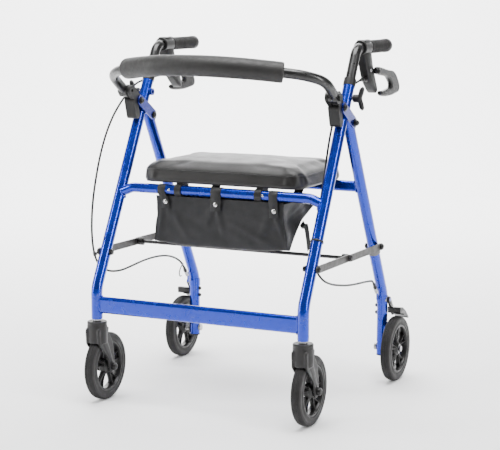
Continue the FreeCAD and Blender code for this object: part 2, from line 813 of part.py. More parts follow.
def cable_adjusters():
    """Barrel adjusters on the brake brackets' ears, where the cable housings end."""
    items = []
    for name, side in SIDES:
        start, direction = cable_end(side)
        barrel = tilted_cylinder(f"adjuster_{name}", start, direction, 0, 14, 4)
        items.append(barrel)
    return group("cable_adjusters", items)


# ---------------------------------------------------------------- folding braces

def brace_half(label, x_face, first, second):
    """One flat bar of a folding brace, drilled for the bolt at its leg."""
    bar = link_plate(f"{label}_bar", x_face, brace_thick, first, second, brace_tall / 2)
    hole = rod(size(x_face) - 1, size(x_face) + brace_thick + 1, *first, BRACE_PIN + RUNNING, f"{label}_hole")
    return node(cut(label, bar, hole), label)


def braces():
    middle = (brace_middle_y, brace_middle_z)
    for name, side in SIDES:
        inner_face = side * brace_inner if side > 0 else -brace_inner - brace_thick
        outer_face = side * brace_outer if side > 0 else -brace_outer - brace_thick
        brace_half(f"brace_front_{name}", inner_face, (brace_front_y, brace_front_z), middle)
        brace_half(f"brace_rear_{name}", outer_face, (brace_rear_y, brace_rear_z), middle)
    rod_end = brace_inner
    node(rod(-rod_end, rod_end, *middle, 4, "fold_rod"), "fold_rod")


# ---------------------------------------------------------------- wheels and casters

def tyre(name):
    """Tyre band with rounded shoulders, turned about the axle."""
    body = add_body(name)
    sketch = add_sketch(body, "XZ_Plane")
    half, inner = tyre_width / 2, wheel_radius - tyre_depth
    shoulder = 6
    draw_outline(sketch, [
        (-half, inner),
        (half, inner),
        (half, wheel_radius - shoulder),
        (half - shoulder * 0.35, wheel_radius - shoulder * 0.3),
        (half - shoulder, wheel_radius),
        (-half + shoulder, wheel_radius),
        (-half + shoulder * 0.35, wheel_radius - shoulder * 0.3),
        (-half, wheel_radius - shoulder),
    ])
    add_turning(body, sketch)
    return node(body, name)


def hub(name, half_boss, bore):
    """Moulded wheel centre: a rim, a web opened between five spokes, and a boss with the axle's bore."""
    body = add_body(name)
    sketch = add_sketch(body, "XZ_Plane")
    rim, rim_depth, half_rim, half_web, boss = wheel_radius - tyre_depth, 5, tyre_width / 2 - 1, 5, 14
    draw_outline(sketch, [
        (-size(half_boss), size(bore)),
        (size(half_boss), size(bore)),
        (size(half_boss), size(boss)),
        (size(half_web), size(boss + 2)),
        (size(half_web), rim - rim_depth),
        (half_rim, rim - rim_depth),
        (half_rim, rim),
        (-half_rim, rim),
        (-half_rim, rim - rim_depth),
        (-size(half_web), rim - rim_depth),
        (-size(half_web), size(boss + 2)),
        (-size(half_boss), size(boss)),
    ])
    add_turning(body, sketch)
    window = add_sketch(body, "YZ_Plane")
    inner, outer, inner_half, outer_half = 19, 47, 7, 21
    draw_outline(window, [
        (size(-inner_half), size(inner)),
        (size(inner_half), size(inner)),
        (size(outer_half), size(outer - 5)),
        (size(outer_half - 12), size(outer)),
        (size(12 - outer_half), size(outer)),
        (size(-outer_half), size(outer - 5)),
    ])
    pocket = add_pocket(body, window, 3 * tyre_width)
    pattern = body.newObject("PartDesign::PolarPattern", f"{name}_spokes")
    pattern.Originals = [pocket]
    pattern.Axis = (next(f for f in body.Origin.OriginFeatures if f.Role == "X_Axis"), [""])
    pattern.Angle = 360
    pattern.Occurrences = 5
    body.Tip = pattern
    return node(body, name)


FORK_HALF = 18  # caster fork, half its width at the wheel
FORK_SPACE = 13.5  # half the space between the fork's legs
AXLE_CAP = 11  # length of the front axles' caps outside the fork


def caster(name, side):
    """A caster's fork, stem, axle, and its wheel, all on the swivel axis under the front leg."""
    body = add_body(f"caster_fork_{name}")
    top, crown_low, crown_radius = front_low - 6.5, 136, 22.5
    crown = add_sketch(body, "XY_Plane", (top + crown_low) / 2)
    draw_circle(crown, 0, stem_y, crown_radius)
    add_pad(body, crown, top - crown_low)
    blades = add_sketch(body, "YZ_Plane")
    axle_y = -half_base
    draw_outline(blades, [
        (stem_y - 20, size(172)),
        (stem_y - 20, size(146)),
        (axle_y - 14, wheel_radius + 2),
        (axle_y - 11, wheel_radius - 10),
        (axle_y, wheel_radius - 14),
        (axle_y + 11, wheel_radius - 10),
        (axle_y + 14, wheel_radius + 2),
        (axle_y + 6, size(136)),
        (stem_y + 21, size(160)),
        (stem_y + 21, size(172)),
    ])
    add_pad(body, blades, 2 * FORK_HALF)
    space = add_sketch(body, "YZ_Plane")
    draw_outline(space, [
        (stem_y - 60, size(155)),
        (stem_y - 60, size(40)),
        (stem_y + 90, size(40)),
        (stem_y + 90, size(155)),
    ])
    add_pocket(body, space, 2 * FORK_SPACE)
    hole = add_sketch(body, "YZ_Plane")
    draw_circle(hole, axle_y, wheel_radius, size(AXLE))
    add_pocket(body, hole, 4 * FORK_HALF)
    stem_hole = add_sketch(body, "XY_Plane", size(170))
    draw_circle(stem_hole, 0, stem_y, size(STEM))
    add_pocket(body, stem_hole, 60)
    place(body, side * leg_x)
    node(body, body.Name)

    shaft = post(side * leg_x, stem_y, 155, front_low + 24, STEM, f"stem_shaft_{name}")
    ring = post(side * leg_x, stem_y, front_low - 6, front_low - 2.2, STEM + 3.5, f"stem_ring_{name}")
    node(fused(f"caster_stem_{name}", shaft, ring), f"caster_stem_{name}")

    reach = leg_x + FORK_HALF
    pin = rod(side * (leg_x - FORK_HALF), side * reach, axle_y, wheel_radius, AXLE, f"front_pin_{name}")
    caps = [
        rod(
            side * (leg_x + s * FORK_HALF),
            side * (leg_x + s * (FORK_HALF + AXLE_CAP)),
            axle_y,
            wheel_radius,
            8,
            f"front_cap_{name}",
        )
        for s in (-1, 1)
    ]
    node(fused(f"front_axle_{name}", pin, *caps), f"front_axle_{name}")

    for piece in (tyre(f"front_tyre_{name}"), hub(f"front_hub_{name}", 12.5, AXLE + RUNNING)):
        place(piece, side * leg_x, axle_y, wheel_radius)


def rear_wheel(name, side):
    for piece in (tyre(f"rear_tyre_{name}"), hub(f"rear_hub_{name}", 10, AXLE + RUNNING)):
        place(piece, side * rear_wheel_x, half_base, wheel_radius)


# ---------------------------------------------------------------- handles and brakes

HOUSING_HALF = 11  # brake housing, half its width
LEVER_INNER = 12  # brake lever's inner face, outboard of the handle tube's middle
LEVER_THICK = 12
LEVER_PIVOT = (113, 733)  # Y and Z of the brake lever's pin
CABLE_EXIT = (76, 716)  # Y and Z where the cable leaves the brake housing
SOCKET_END = 102  # Y where the cable's socket ends inside the housing


def handle_tube(name, side):
    """Tube that slides in the front leg and bends back into the grip."""
    body = add_body(f"handle_tube_{name}")
    low = size(480)
    corner = (front_leg_y(grip_z), grip_z)
    end_y = size(217)
    path = add_sketch(body, "YZ_Plane")
    draw_bent_line(path, (end_y, grip_z), corner, (front_leg_y(low), low), size(34), 90 - lean)
    section = add_sketch(body, "XZ_Plane", -end_y)
    draw_circle(section, 0, grip_z, handle_radius)
    draw_circle(section, 0, grip_z, handle_radius - 1.5)
    pipe = body.newObject("PartDesign::AdditivePipe", f"{body.Name}_pipe")
    pipe.Profile = section
    pipe.Spine = path
    place(body, side * leg_x)
    node(body, body.Name)


def grip(name, side):
    """Ribbed grip with a closed end, turned about the handle's level run."""
    body = add_body(f"grip_{name}")
    sketch = add_sketch(body, "YZ_Plane")
    front, back, end = 98, 217, 222
    rib, groove_depth = 6, 1.2
    points = [(size(back), size(0)), (size(back), handle_radius), (size(front), handle_radius)]
    points += [(size(front), grip_radius + 2), (size(front + 4), grip_radius + 2)]
    y = front + 5
    while y + rib < back - 12:
        points += [(size(y), grip_radius), (size(y + rib - 2), grip_radius)]
        points += [(size(y + rib - 1.6), grip_radius - groove_depth), (size(y + rib - 0.4), grip_radius - groove_depth)]
        y += rib
    points += [(size(y), grip_radius + 0.5), (size(end - 3), grip_radius + 0.5), (size(end), grip_radius - 3)]
    points += [(size(end), size(0))]
    draw_outline(sketch, points)
    add_turning(body, sketch)
    place(body, side * leg_x, 0, grip_z)
    node(body, body.Name)


def brake_housing(name, side):
    """Moulded housing clamped round the handle tube, hanging down behind it, with the cable's socket in front."""
    body = add_body(f"brake_housing_{name}")
    sketch = add_sketch(body, "YZ_Plane")
    draw_outline(sketch, [
        (size(y), size(z))
        for y, z in (
            (56, 803), (92, 803), (96.5, 794), (96.5, 772), (110, 748), (140, 693),
            (134, 682), (120, 688), (95, 708), (76, 740), (56, 772),
        )
    ])
    add_pad(body, sketch, 2 * HOUSING_HALF)
    bore = add_sketch(body, "XZ_Plane", -90)
    draw_circle(bore, 0, grip_z, handle_radius)
    collar = add_sketch(body, "XZ_Plane", -77)
    draw_circle(collar, 0, grip_z, handle_radius + 5)
    add_pad(body, collar, 42)
    socket = add_sketch(body, "XZ_Plane", size(-(CABLE_EXIT[0] + SOCKET_END) / 2))
    draw_circle(socket, 0, CABLE_EXIT[1], 5)
    add_pad(body, socket, SOCKET_END - CABLE_EXIT[0])
    add_pocket(body, bore, 140)
    pin = add_sketch(body, "YZ_Plane")
    draw_circle(pin, *LEVER_PIVOT, 4)
    add_pad(body, pin, 2 * (LEVER_INNER + LEVER_THICK + 1))
    spare = add_sketch(body, "YZ_Plane", size(-side * 30))
    draw_circle(spare, *LEVER_PIVOT, 6)
    add_pocket(body, spare, 2 * (30 - HOUSING_HALF))
    place(body, side * leg_x)
    node(body, body.Name)


def brake_lever(name, side):
    """Loop lever: back from its pin, round the loop and forward again, with room for the fingers inside."""
    body = add_body(f"brake_lever_{name}")
    sketch = add_sketch(body, "YZ_Plane")
    draw_outline(sketch, [
        (size(y), size(z))
        for y, z in (
            (104, 740), (115, 744), (183, 733), (212, 729), (226, 722), (247, 704),
            (251, 690), (244, 680), (201, 674), (150, 675), (131, 680), (133, 688),
            (150, 687), (198, 692), (200, 700), (176, 718), (138, 723), (115, 724), (104, 727),
        )
    ])
    add_pad(body, sketch, LEVER_THICK)
    bore = add_sketch(body, "YZ_Plane")
    draw_circle(bore, *LEVER_PIVOT, 4 + RUNNING)
    add_pocket(body, bore, 3 * LEVER_THICK)
    place(body, side * (leg_x + LEVER_INNER + LEVER_THICK / 2))
    node(body, body.Name)


def brake_arm(name, side):
    """Arm on the rear leg with a shoe and a sloping plate across the top of the rear tyre."""
    y, z = BRAKE_PIVOT
    shoe = (half_base + 26, wheel_radius + 81.2)
    low_face = BRAKE_ARM_INNER if side > 0 else -BRAKE_ARM_INNER - BRAKE_ARM_THICK
    plate = link_plate(f"arm_plate_{name}", low_face, BRAKE_ARM_THICK, (y, z), shoe, 7.5)
    hole = rod(size(low_face) - 1, size(low_face) + BRAKE_ARM_THICK + 1, y, z, 4 + RUNNING, f"arm_hole_{name}")
    bar = rod(side * BRAKE_ARM_INNER, side * SHOE_END, *shoe, 5.5, f"arm_shoe_{name}")
    low, reach = sorted((side * BRAKE_ARM_INNER, side * SHOE_END))
    guard = link_plate(f"arm_guard_{name}", low, reach - low, (226, 168), (268, 148), 5)
    node(cut(f"brake_arm_{name}", fused(f"arm_solid_{name}", plate, bar, guard), hole), f"brake_arm_{name}")


def adjust_knob(name, side):
    """Wing knob on a clamp screw, on the outer side of the front leg's upper end."""
    screw = across_leg(f"knob_screw_{name}", side, leg_radius + 0.3, 5, KNOB_SCREW)
    hub_piece = across_leg(f"knob_hub_{name}", side, 16, 16, 8.5)
    reach, wing_start, wing_thick, tip = 20, 29, 14, 6.5
    y = front_leg_y(size(KNOB_HIGH))
    low = leg_x + wing_start if side > 0 else -leg_x - wing_start - wing_thick
    wings = link_plate(f"knob_wings_{name}", low, wing_thick, (y, KNOB_HIGH - reach), (y, KNOB_HIGH + reach), tip)
    node(fused(f"adjust_knob_{name}", screw, hub_piece, wings), f"adjust_knob_{name}")


# ---------------------------------------------------------------- seat, pouch, backrest

SEAT_FRONT = -150
BOARD_LOW = 490
BOARD_HIGH = 495


def rounded_block(label, low, sizes, corner, edge):
    """A box with round upright corners and softened top edges."""
    box = doc.addObject("Part::Box", f"{label}_box")
    bind(box, Length=sizes[0], Width=sizes[1], Height=sizes[2])
    place(box, *low)
    doc.recompute()
    upright = [i for i, e in enumerate(box.Shape.Edges, 1) if abs(e.tangentAt(e.FirstParameter).z) > 0.9]
    corners = doc.addObject("Part::Fillet", f"{label}_corners")
    corners.Base = box
    corners.Edges = [(i, corner, corner) for i in upright]
    doc.recompute()
    if not edge:
        return node(corners, label)
    top = corners.Shape.BoundBox.ZMax
    upper = [i for i, e in enumerate(corners.Shape.Edges, 1) if e.BoundBox.ZMin > top - 0.01]
    soft = doc.addObject("Part::Fillet", f"{label}_soft")
    soft.Base = corners
    soft.Edges = [(i, edge, edge) for i in upper]
    return node(soft, label)


def seat():
    """Board with a padded cushion on it, held to the front rail by two hinge clips."""
    inset = 8
    rounded_block(
        "seat_board",
        (-seat_width / 2 + inset, SEAT_FRONT + inset, BOARD_LOW),
        (seat_width - 2 * inset, seat_depth - 2 * inset, size(BOARD_HIGH - BOARD_LOW)),
        28,
        0,
    )
    rounded_block(
        "seat_cushion",
        (-seat_width / 2, SEAT_FRONT, BOARD_HIGH),
        (seat_width, seat_depth, seat_top - BOARD_HIGH),
        34,
        14,
    )
    clips = []
    clip_place, clip_half = 98, 8
    for name, side in SIDES:
        low, high = side * clip_place - clip_half, side * clip_place + clip_half
        ring = rod(low, high, rail_y, rail_z, rail_radius + 3, f"clip_ring_{name}")
        foot = doc.addObject("Part::Box", f"clip_foot_{name}")
        bind(foot, Length=2 * clip_half, Width=28, Height=BOARD_LOW - rail_z)
        place(foot, low, rail_y, rail_z)
        bore = rod(low - 1, high + 1, rail_y, rail_z, rail_radius + RUNNING, f"clip_bore_{name}")
        board_space = doc.addObject("Part::Box", f"clip_board_space_{name}")
        bind(board_space, Length=2 * clip_half + 2, Width=60, Height=20)
        place(board_space, low - 1, rail_y - 30, BOARD_LOW)
        tools = fused(f"clip_tools_{name}", bore, board_space)
        clips.append(cut(f"seat_clip_{name}", fused(f"clip_solid_{name}", ring, foot), tools))
    group("seat_clips", clips)


def pouch():
    """Open bag that hangs between the seat's front rail and the rear crossbar."""
    body = add_body("pouch")
    width, wall = 326, 3
    outer = [(-144, 452), (-144, 356), (-130, 350), (-82, 362), (-40, 392), (40, 446), (40, 452)]
    inner = [(-141, 460), (-141, 357), (-129, 353.2), (-83, 365), (-42, 394.5), (37, 448), (37, 460)]
    sketch = add_sketch(body, "YZ_Plane")
    draw_outline(sketch, [(size(y), size(z)) for y, z in outer])
    add_pad(body, sketch, width)
    hollow = add_sketch(body, "YZ_Plane")
    draw_outline(hollow, [(size(y), size(z)) for y, z in inner])
    add_pocket(body, hollow, width - 2 * wall)
    node(body, "pouch")


BACKREST_ROUTE = (
    (257, -104, 688), (257, -158, 725), (222, -190, 738), (186, -214, 744),
    (130, -244, 751), (66, -270, 757),
)  # right half of the backrest bar, from its hinge to beside the middle


def backrest():
    """Bent bar with an eye at each end, and a foam sleeve round its middle."""
    right = [Vector(*p) for p in BACKREST_ROUTE]
    left = [Vector(-p.x, p.y, p.z) for p in reversed(right)]
    route = [tuple(p) for p in right + left]
    bar = swept(route, backrest_radius)[0]
    sleeve = swept(route, foam_radius)[0]
    half = float(dimension("foam_half_width"))
    sleeve = sleeve.common(Part.makeBox(2 * half, 400, 400, Vector(-half, -500, 550)))
    for side in (-1, 1):
        start = min(side * EYE_INNER, side * EYE_OUTER)
        place_at = Vector(start, *BACKREST_PIVOT)
        bar = bar.fuse(Part.makeCylinder(14, EYE_OUTER - EYE_INNER, place_at, Vector(1, 0, 0)))
    for side in (-1, 1):
        direction = Vector(side, 0, 0)
        root = Vector(side * (EYE_INNER - 5), *BACKREST_PIVOT)
        bar = bar.cut(Part.makeCylinder(BACKREST_PIN + RUNNING, 19, root, direction))
        recess = Vector(side * (EYE_OUTER - 6), *BACKREST_PIVOT)
        bar = bar.cut(Part.makeCylinder(BUTTON + RUNNING, 20, recess, direction))
        shave = Vector(side * 235, *BACKREST_PIVOT)
        bar = bar.cut(Part.makeCylinder(18, EYE_INNER - 235, shave, direction))
    node(feature("backrest_bar", largest(bar)), "backrest_bar")
    node(feature("backrest_foam", largest(sleeve.cut(bar))), "backrest_foam")
    for name, side in SIDES:
        button = rod(side * (EYE_OUTER - 2), side * (EYE_OUTER + 5), *BACKREST_PIVOT, BUTTON, f"release_button_{name}")
        node(button, button.Name)


BUTTON = 8  # backrest release buttons' radius


# ---------------------------------------------------------------- brake cables

CABLE_LEFT = (
    (-250, 76, 716), (-250, 58, 716), (-259, 34, 712), (-269, 2, 706), (-273, -28, 699), (-275, -58, 682),
    (-279, -90, 656), (-280, -122, 628), (-279, -155, 590), (-278, -182, 545), (-277, -203, 496), (-277, -218, 445),
    (-277, -224, 393), (-276, -222, 345), (-271, -212, 306), (-259, -188, 286), (-250, -150, 281),
    (-250, -102, 283), (-250, -52, 287), (-250, -2, 288), (-250, 48, 285), (-250, 92, 277),
    (-250, 130, 263), (-250, 156, 246), (-250, 170, 226),
)
CABLE_RIGHT = (
    (250, 76, 716), (250, 58, 716), (239, 34, 704), (229, 8, 682), (226, -24, 652), (227, -52, 614),
    (229, -78, 565), (231, -98, 515), (231, -119, 464), (231, -143, 412), (233, -163, 365),
    (240, -166, 327), (248, -146, 300), (250, -104, 284), (250, -55, 273), (250, -5, 264),
    (250, 45, 258), (250, 92, 254), (250, 130, 250), (250, 156, 246), (250, 170, 226),
)


def cable_end(side):
    """Where a cable's housing ends at its adjuster, and the way it points there."""
    route = CABLE_RIGHT if side > 0 else CABLE_LEFT
    last, before = Vector(*route[-1]), Vector(*route[-2])
    return last, (last - before).normalize()


def brake_cables():
    """Cable housings from the brake housings to the adjusters on the rear legs."""
    for name, route in (("left", CABLE_LEFT), ("right", CABLE_RIGHT)):
        solid, length, radii = swept(route, cable_radius)
        print(f"brake_cable_{name}: {length:.0f} long, arcs", " ".join(f"{r:.0f}" for r in radii))
        node(feature(f"brake_cable_{name}", solid), f"brake_cable_{name}")


# ---------------------------------------------------------------- the walker

for side_name, side_sign in SIDES:
    drilled_leg(front_leg(side_name, side_sign))
    rear_leg(side_name, side_sign)
    caster(side_name, side_sign)
    rear_wheel(side_name, side_sign)
    handle_tube(side_name, side_sign)
    grip(side_name, side_sign)
    brake_housing(side_name, side_sign)
    brake_lever(side_name, side_sign)
    brake_arm(side_name, side_sign)
    adjust_knob(side_name, side_sign)
front_crossbar()
seat_front_rail()
rear_crossbar()
pivot_brackets()
frame_bolts()
leg_collars()
caster_cups()
knob_nuts()
backrest_brackets()
rear_leg_plugs()
brace_saddles()
brace_rear_bolts()
rear_axles()
brake_brackets()
cable_adjusters()
braces()
seat()
pouch()
backrest()
brake_cables()
doc.recompute()

for item in doc.Objects:
    assert not {"Invalid", "Error"} & set(item.State), f"{item.Name} failed: {item.State}"
for item in nodes:
    assert not item.Shape.isNull() and item.Shape.isValid(), f"{item.Label} has no valid shape"
    assert item.Shape.Solids, f"{item.Label} has no solid"
os.makedirs("parts", exist_ok=True)
for item in nodes:
    item.Shape.exportStep(f"parts/{item.Label}.step")
print(len(nodes), "nodes written")
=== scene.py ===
"""Looks of a folding rollator walker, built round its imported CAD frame.

Metres, in the frame's own axes: X across the walker, +Y towards the person who pushes it, +Z up,
floor at Z = 0.
"""
import math

import bmesh
import bpy
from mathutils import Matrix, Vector, noise


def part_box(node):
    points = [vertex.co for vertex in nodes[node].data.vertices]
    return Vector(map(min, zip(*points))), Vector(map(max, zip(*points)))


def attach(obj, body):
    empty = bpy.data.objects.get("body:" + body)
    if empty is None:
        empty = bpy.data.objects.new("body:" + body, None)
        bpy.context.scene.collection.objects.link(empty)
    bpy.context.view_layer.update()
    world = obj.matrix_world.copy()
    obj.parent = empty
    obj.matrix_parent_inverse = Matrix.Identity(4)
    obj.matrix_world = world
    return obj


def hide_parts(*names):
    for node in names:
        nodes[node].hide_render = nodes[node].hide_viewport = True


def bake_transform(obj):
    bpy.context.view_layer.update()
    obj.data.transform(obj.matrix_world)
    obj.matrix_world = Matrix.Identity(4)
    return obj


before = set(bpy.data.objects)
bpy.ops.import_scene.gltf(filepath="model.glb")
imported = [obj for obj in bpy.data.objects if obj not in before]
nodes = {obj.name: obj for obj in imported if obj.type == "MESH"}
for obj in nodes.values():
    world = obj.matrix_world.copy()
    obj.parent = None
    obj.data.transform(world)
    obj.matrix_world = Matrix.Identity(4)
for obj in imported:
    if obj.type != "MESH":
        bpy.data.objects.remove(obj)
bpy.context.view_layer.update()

SIDES = (("left", -1), ("right", 1))
X_AXIS, Y_AXIS, Z_AXIS = Vector((1, 0, 0)), Vector((0, 1, 0)), Vector((0, 0, 1))


def middle_of(node):
    low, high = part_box(node)
    return (low + high) / 2


LEG_X = middle_of("front_leg_right").x
LEG_RADIUS = 0.0127
LEAN = math.radians(28.4)
FRONT_AXLE = middle_of("front_tyre_right")
REAR_AXLE = middle_of("rear_tyre_right")
WHEEL_RADIUS = FRONT_AXLE.z
STEM_Y = middle_of("caster_stem_right").y
GRIP_Z = middle_of("grip_right").z
SEAT_LOW, SEAT_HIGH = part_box("seat_cushion")


# ---------------------------------------------------------------- camera and light

def add_camera(azimuth, elevation, place, lens):
    """A camera at place that looks back along the direction that azimuth and elevation give."""
    across, up = math.radians(azimuth), math.radians(elevation)
    back = Vector((math.sin(across) * math.cos(up), -math.cos(across) * math.cos(up), math.sin(up)))
    camera = bpy.data.objects.new("camera", bpy.data.cameras.new("camera"))
    camera.data.lens = lens
    camera.data.sensor_width = 36
    camera.location = place
    camera.rotation_euler = back.to_track_quat("Z", "Y").to_euler()
    bpy.context.scene.collection.objects.link(camera)
    bpy.context.scene.camera = camera


def add_softbox(name, place, aim, size, power):
    light = bpy.data.lights.new(name, "AREA")
    light.shape = "RECTANGLE"
    light.size, light.size_y = size
    light.energy = power
    lamp = bpy.data.objects.new(name, light)
    lamp.location = place
    lamp.rotation_euler = (Vector(place) - Vector(aim)).to_track_quat("Z", "Y").to_euler()
    bpy.context.scene.collection.objects.link(lamp)


def add_studio():
    """Pale paper that runs from the floor up behind the walker, grey surroundings and large soft lights."""
    world = bpy.data.worlds.new("studio")
    world.use_nodes = True
    world.node_tree.nodes["Background"].inputs["Color"].default_value = (1, 1, 1, 1)
    world.node_tree.nodes["Background"].inputs["Strength"].default_value = 0.3
    bpy.context.scene.world = world
    aim = (0, 0, 0.4)
    add_softbox("top_light", (0.2, -0.5, 3.0), aim, (2.4, 1.8), 190)
    add_softbox("left_light", (-2.5, -1.7, 1.2), aim, (0.45, 2.2), 75)
    add_softbox("right_light", (2.9, -0.7, 1.3), aim, (0.4, 2.2), 60)
    behind = Vector((-0.431, 0.902, 0))
    add_softbox(
        "paper_light", behind * 2.2 + Vector((0, 0, 3.4)), behind * 4.6 + Vector((0, 0, 0.9)), (5.0, 1.2),
        700,
    )
    start, bend, height = 3.0, 1.6, 4.5
    profile = [(-7.0, 0.0), (start, 0.0)]
    for step in range(1, 25):
        turn = math.pi / 2 * step / 24
        profile.append((start + bend * math.sin(turn), bend * (1 - math.cos(turn))))
    profile.append((start + bend, height))
    aside = behind.cross(Z_AXIS)
    vertices = [behind * out + aside * wide + Vector((0, 0, up)) for out, up in profile for wide in (-8, 8)]
    faces = [(2 * i, 2 * i + 1, 2 * i + 3, 2 * i + 2) for i in range(len(profile) - 1)]
    paper = smooth(add_mesh("paper", vertices, faces), 60)
    paper.data.materials.append(floor_finish())


# ---------------------------------------------------------------- finishes

class Finish:
    """A procedural material under construction: textures by place on the piece, then colour,
    roughness and bumps.
    """

    def __init__(self, name, colour, roughness, **sockets):
        self.material = bpy.data.materials.new(name)
        self.material.use_nodes = True
        self.tree = self.material.node_tree
        self.shader = self.tree.nodes["Principled BSDF"]
        self.shader.inputs["Base Color"].default_value = (*colour, 1)
        self.shader.inputs["Roughness"].default_value = roughness
        for socket, value in sockets.items():
            self.shader.inputs[socket.replace("_", " ").title().replace("Ior", "IOR")].default_value = value
        self.place = self.tree.nodes.new("ShaderNodeTexCoord").outputs["Object"]

    def stretched(self, scale):
        mapping = self.tree.nodes.new("ShaderNodeMapping")
        mapping.inputs["Scale"].default_value = scale
        self.tree.links.new(self.place, mapping.inputs["Vector"])
        return mapping.outputs["Vector"]

    def texture(self, kind, scale, stretch=None, output=0, **inputs):
        node = self.tree.nodes.new(f"ShaderNodeTex{kind}")
        self.tree.links.new(self.stretched(stretch) if stretch else self.place, node.inputs["Vector"])
        node.inputs["Scale"].default_value = scale
        for socket, value in inputs.items():
            node.inputs[socket.title()].default_value = value
        return node.outputs[output]

    def noise(self, scale, detail=4.0, **more):
        return self.texture("Noise", scale, detail=detail, **more)

    def cells(self, scale, **more):
        return self.texture("Voronoi", scale, **more)

    def stripes(self, scale, direction, **more):
        output = self.texture("Wave", scale, **more)
        output.node.bands_direction = direction
        return output

    def map(self, value, low, high, out_low=0.0, out_high=1.0):
        node = self.tree.nodes.new("ShaderNodeMapRange")
        self.tree.links.new(value, node.inputs["Value"])
        for socket, number in (
            ("From Min", low), ("From Max", high), ("To Min", out_low), ("To Max", out_high)
        ):
            node.inputs[socket].default_value = number
        return node.outputs["Result"]

    def both(self, first, second, operation="MULTIPLY"):
        node = self.tree.nodes.new("ShaderNodeMath")
        node.operation = operation
        self.tree.links.new(first, node.inputs[0])
        self.tree.links.new(second, node.inputs[1])
        return node.outputs[0]

    def colours(self, share, first, second):
        node = self.tree.nodes.new("ShaderNodeMix")
        node.data_type = "RGBA"
        self.tree.links.new(share, node.inputs["Factor"])
        for index, colour in ((6, first), (7, second)):
            if isinstance(colour, tuple):
                node.inputs[index].default_value = (*colour, 1)
            else:
                self.tree.links.new(colour, node.inputs[index])
        self.tree.links.new(node.outputs[2], self.shader.inputs["Base Color"])
        return node.outputs[2]

    def roughness(self, share, low, high):
        self.tree.links.new(self.map(share, 0.3, 0.7, low, high), self.shader.inputs["Roughness"])

    def bump(self, height, distance, strength=1.0):
        node = self.tree.nodes.new("ShaderNodeBump")
        node.inputs["Distance"].default_value = distance
        node.inputs["Strength"].default_value = strength
        self.tree.links.new(height, node.inputs["Height"])
        before = self.shader.inputs["Normal"]
        if before.is_linked:
            self.tree.links.new(before.links[0].from_socket, node.inputs["Normal"])
        self.tree.links.new(node.outputs["Normal"], before)


def floor_finish():
    floor = Finish("floor_paper", (0.9, 0.9, 0.9), 0.85)
    floor.colours(floor.noise(0.8, 2), (0.91, 0.91, 0.91), (0.89, 0.89, 0.895))
    floor.bump(floor.noise(160), 0.0002, 0.3)
    return floor.material


def paint_finish(name, deep, light, coat=0.7):
    """Metallic lacquer: fine flakes under a clear coat with a faint orange peel."""
    paint = Finish(name, deep, 0.3, metallic=0.85, coat_weight=coat, coat_roughness=0.04)
    flakes = paint.map(paint.cells(5200, output=0), 0.1, 0.75)
    paint.colours(paint.both(flakes, paint.map(paint.noise(9, 3), 0.2, 0.8, 0.35, 0.75)), deep, light)
    paint.roughness(paint.noise(55, 5), 0.2, 0.3)
    paint.bump(paint.noise(420, 2), 0.00006, 0.5)
    return paint.material


def plastic_finish(name, colour, roughness, grain=1400, depth=0.00005, light=1.5, gloss=0.35):
    """Moulded plastic: fine spark texture, faint flow marks and roughness that varies from place to place."""
    plastic = Finish(name, colour, roughness, specular_ior_level=gloss)
    pale = tuple(min(1.0, c * light + 0.001) for c in colour)
    cloud = plastic.noise(38, 5)
    plastic.colours(plastic.map(cloud, 0.35, 0.75), colour, pale)
    plastic.roughness(plastic.noise(90, 6), roughness - 0.07, roughness + 0.07)
    plastic.bump(plastic.noise(grain, 3), depth, 0.8)
    plastic.bump(plastic.noise(22, 2), 0.0002, 0.2)
    return plastic.material


def metal_finish(name, colour, roughness, metallic=1.0, brushed=(1, 1, 1)):
    """Plated or polished metal with fine drawing marks and a cloudy film."""
    metal = Finish(name, colour, roughness, metallic=metallic)
    dull = tuple(c * 0.72 for c in colour)
    metal.colours(metal.noise(140, 6), dull, colour)
    metal.roughness(metal.noise(60, 5), roughness - 0.08, roughness + 0.12)
    metal.bump(metal.noise(900, 4, stretch=brushed), 0.00003, 0.7)
    return metal.material


def tube_finish():
    """Semi-gloss black powder coat on the bars."""
    coat = Finish(
        "black_powder_coat", (0.003, 0.003, 0.003), 0.3, specular_ior_level=0.4, coat_weight=0.3,
        coat_roughness=0.12,
    )
    coat.colours(coat.noise(30, 5), (0.0025, 0.0024, 0.0025), (0.005, 0.0048, 0.0048))
    coat.roughness(coat.noise(80, 5), 0.24, 0.38)
    coat.bump(coat.noise(650, 3), 0.00008, 0.6)
    return coat.material


def foam_finish():
    """Closed-cell foam: skinned pores, a dusty bloom and soft dents."""
    foam = Finish(
        "backrest_foam", (0.012, 0.011, 0.0105), 0.55, specular_ior_level=0.4, sheen_weight=0.06,
        sheen_roughness=0.5,
    )
    pores = foam.cells(820)
    foam.colours(foam.map(foam.noise(26, 6), 0.3, 0.75), (0.0045, 0.0041, 0.0039), (0.0095, 0.0087, 0.0082))
    foam.roughness(foam.noise(120, 5), 0.46, 0.62)
    foam.bump(pores, 0.00016, 0.6)
    foam.bump(foam.noise(300, 6), 0.00022, 0.6)
    foam.bump(foam.noise(30, 3), 0.0012, 0.35)
    return foam.material


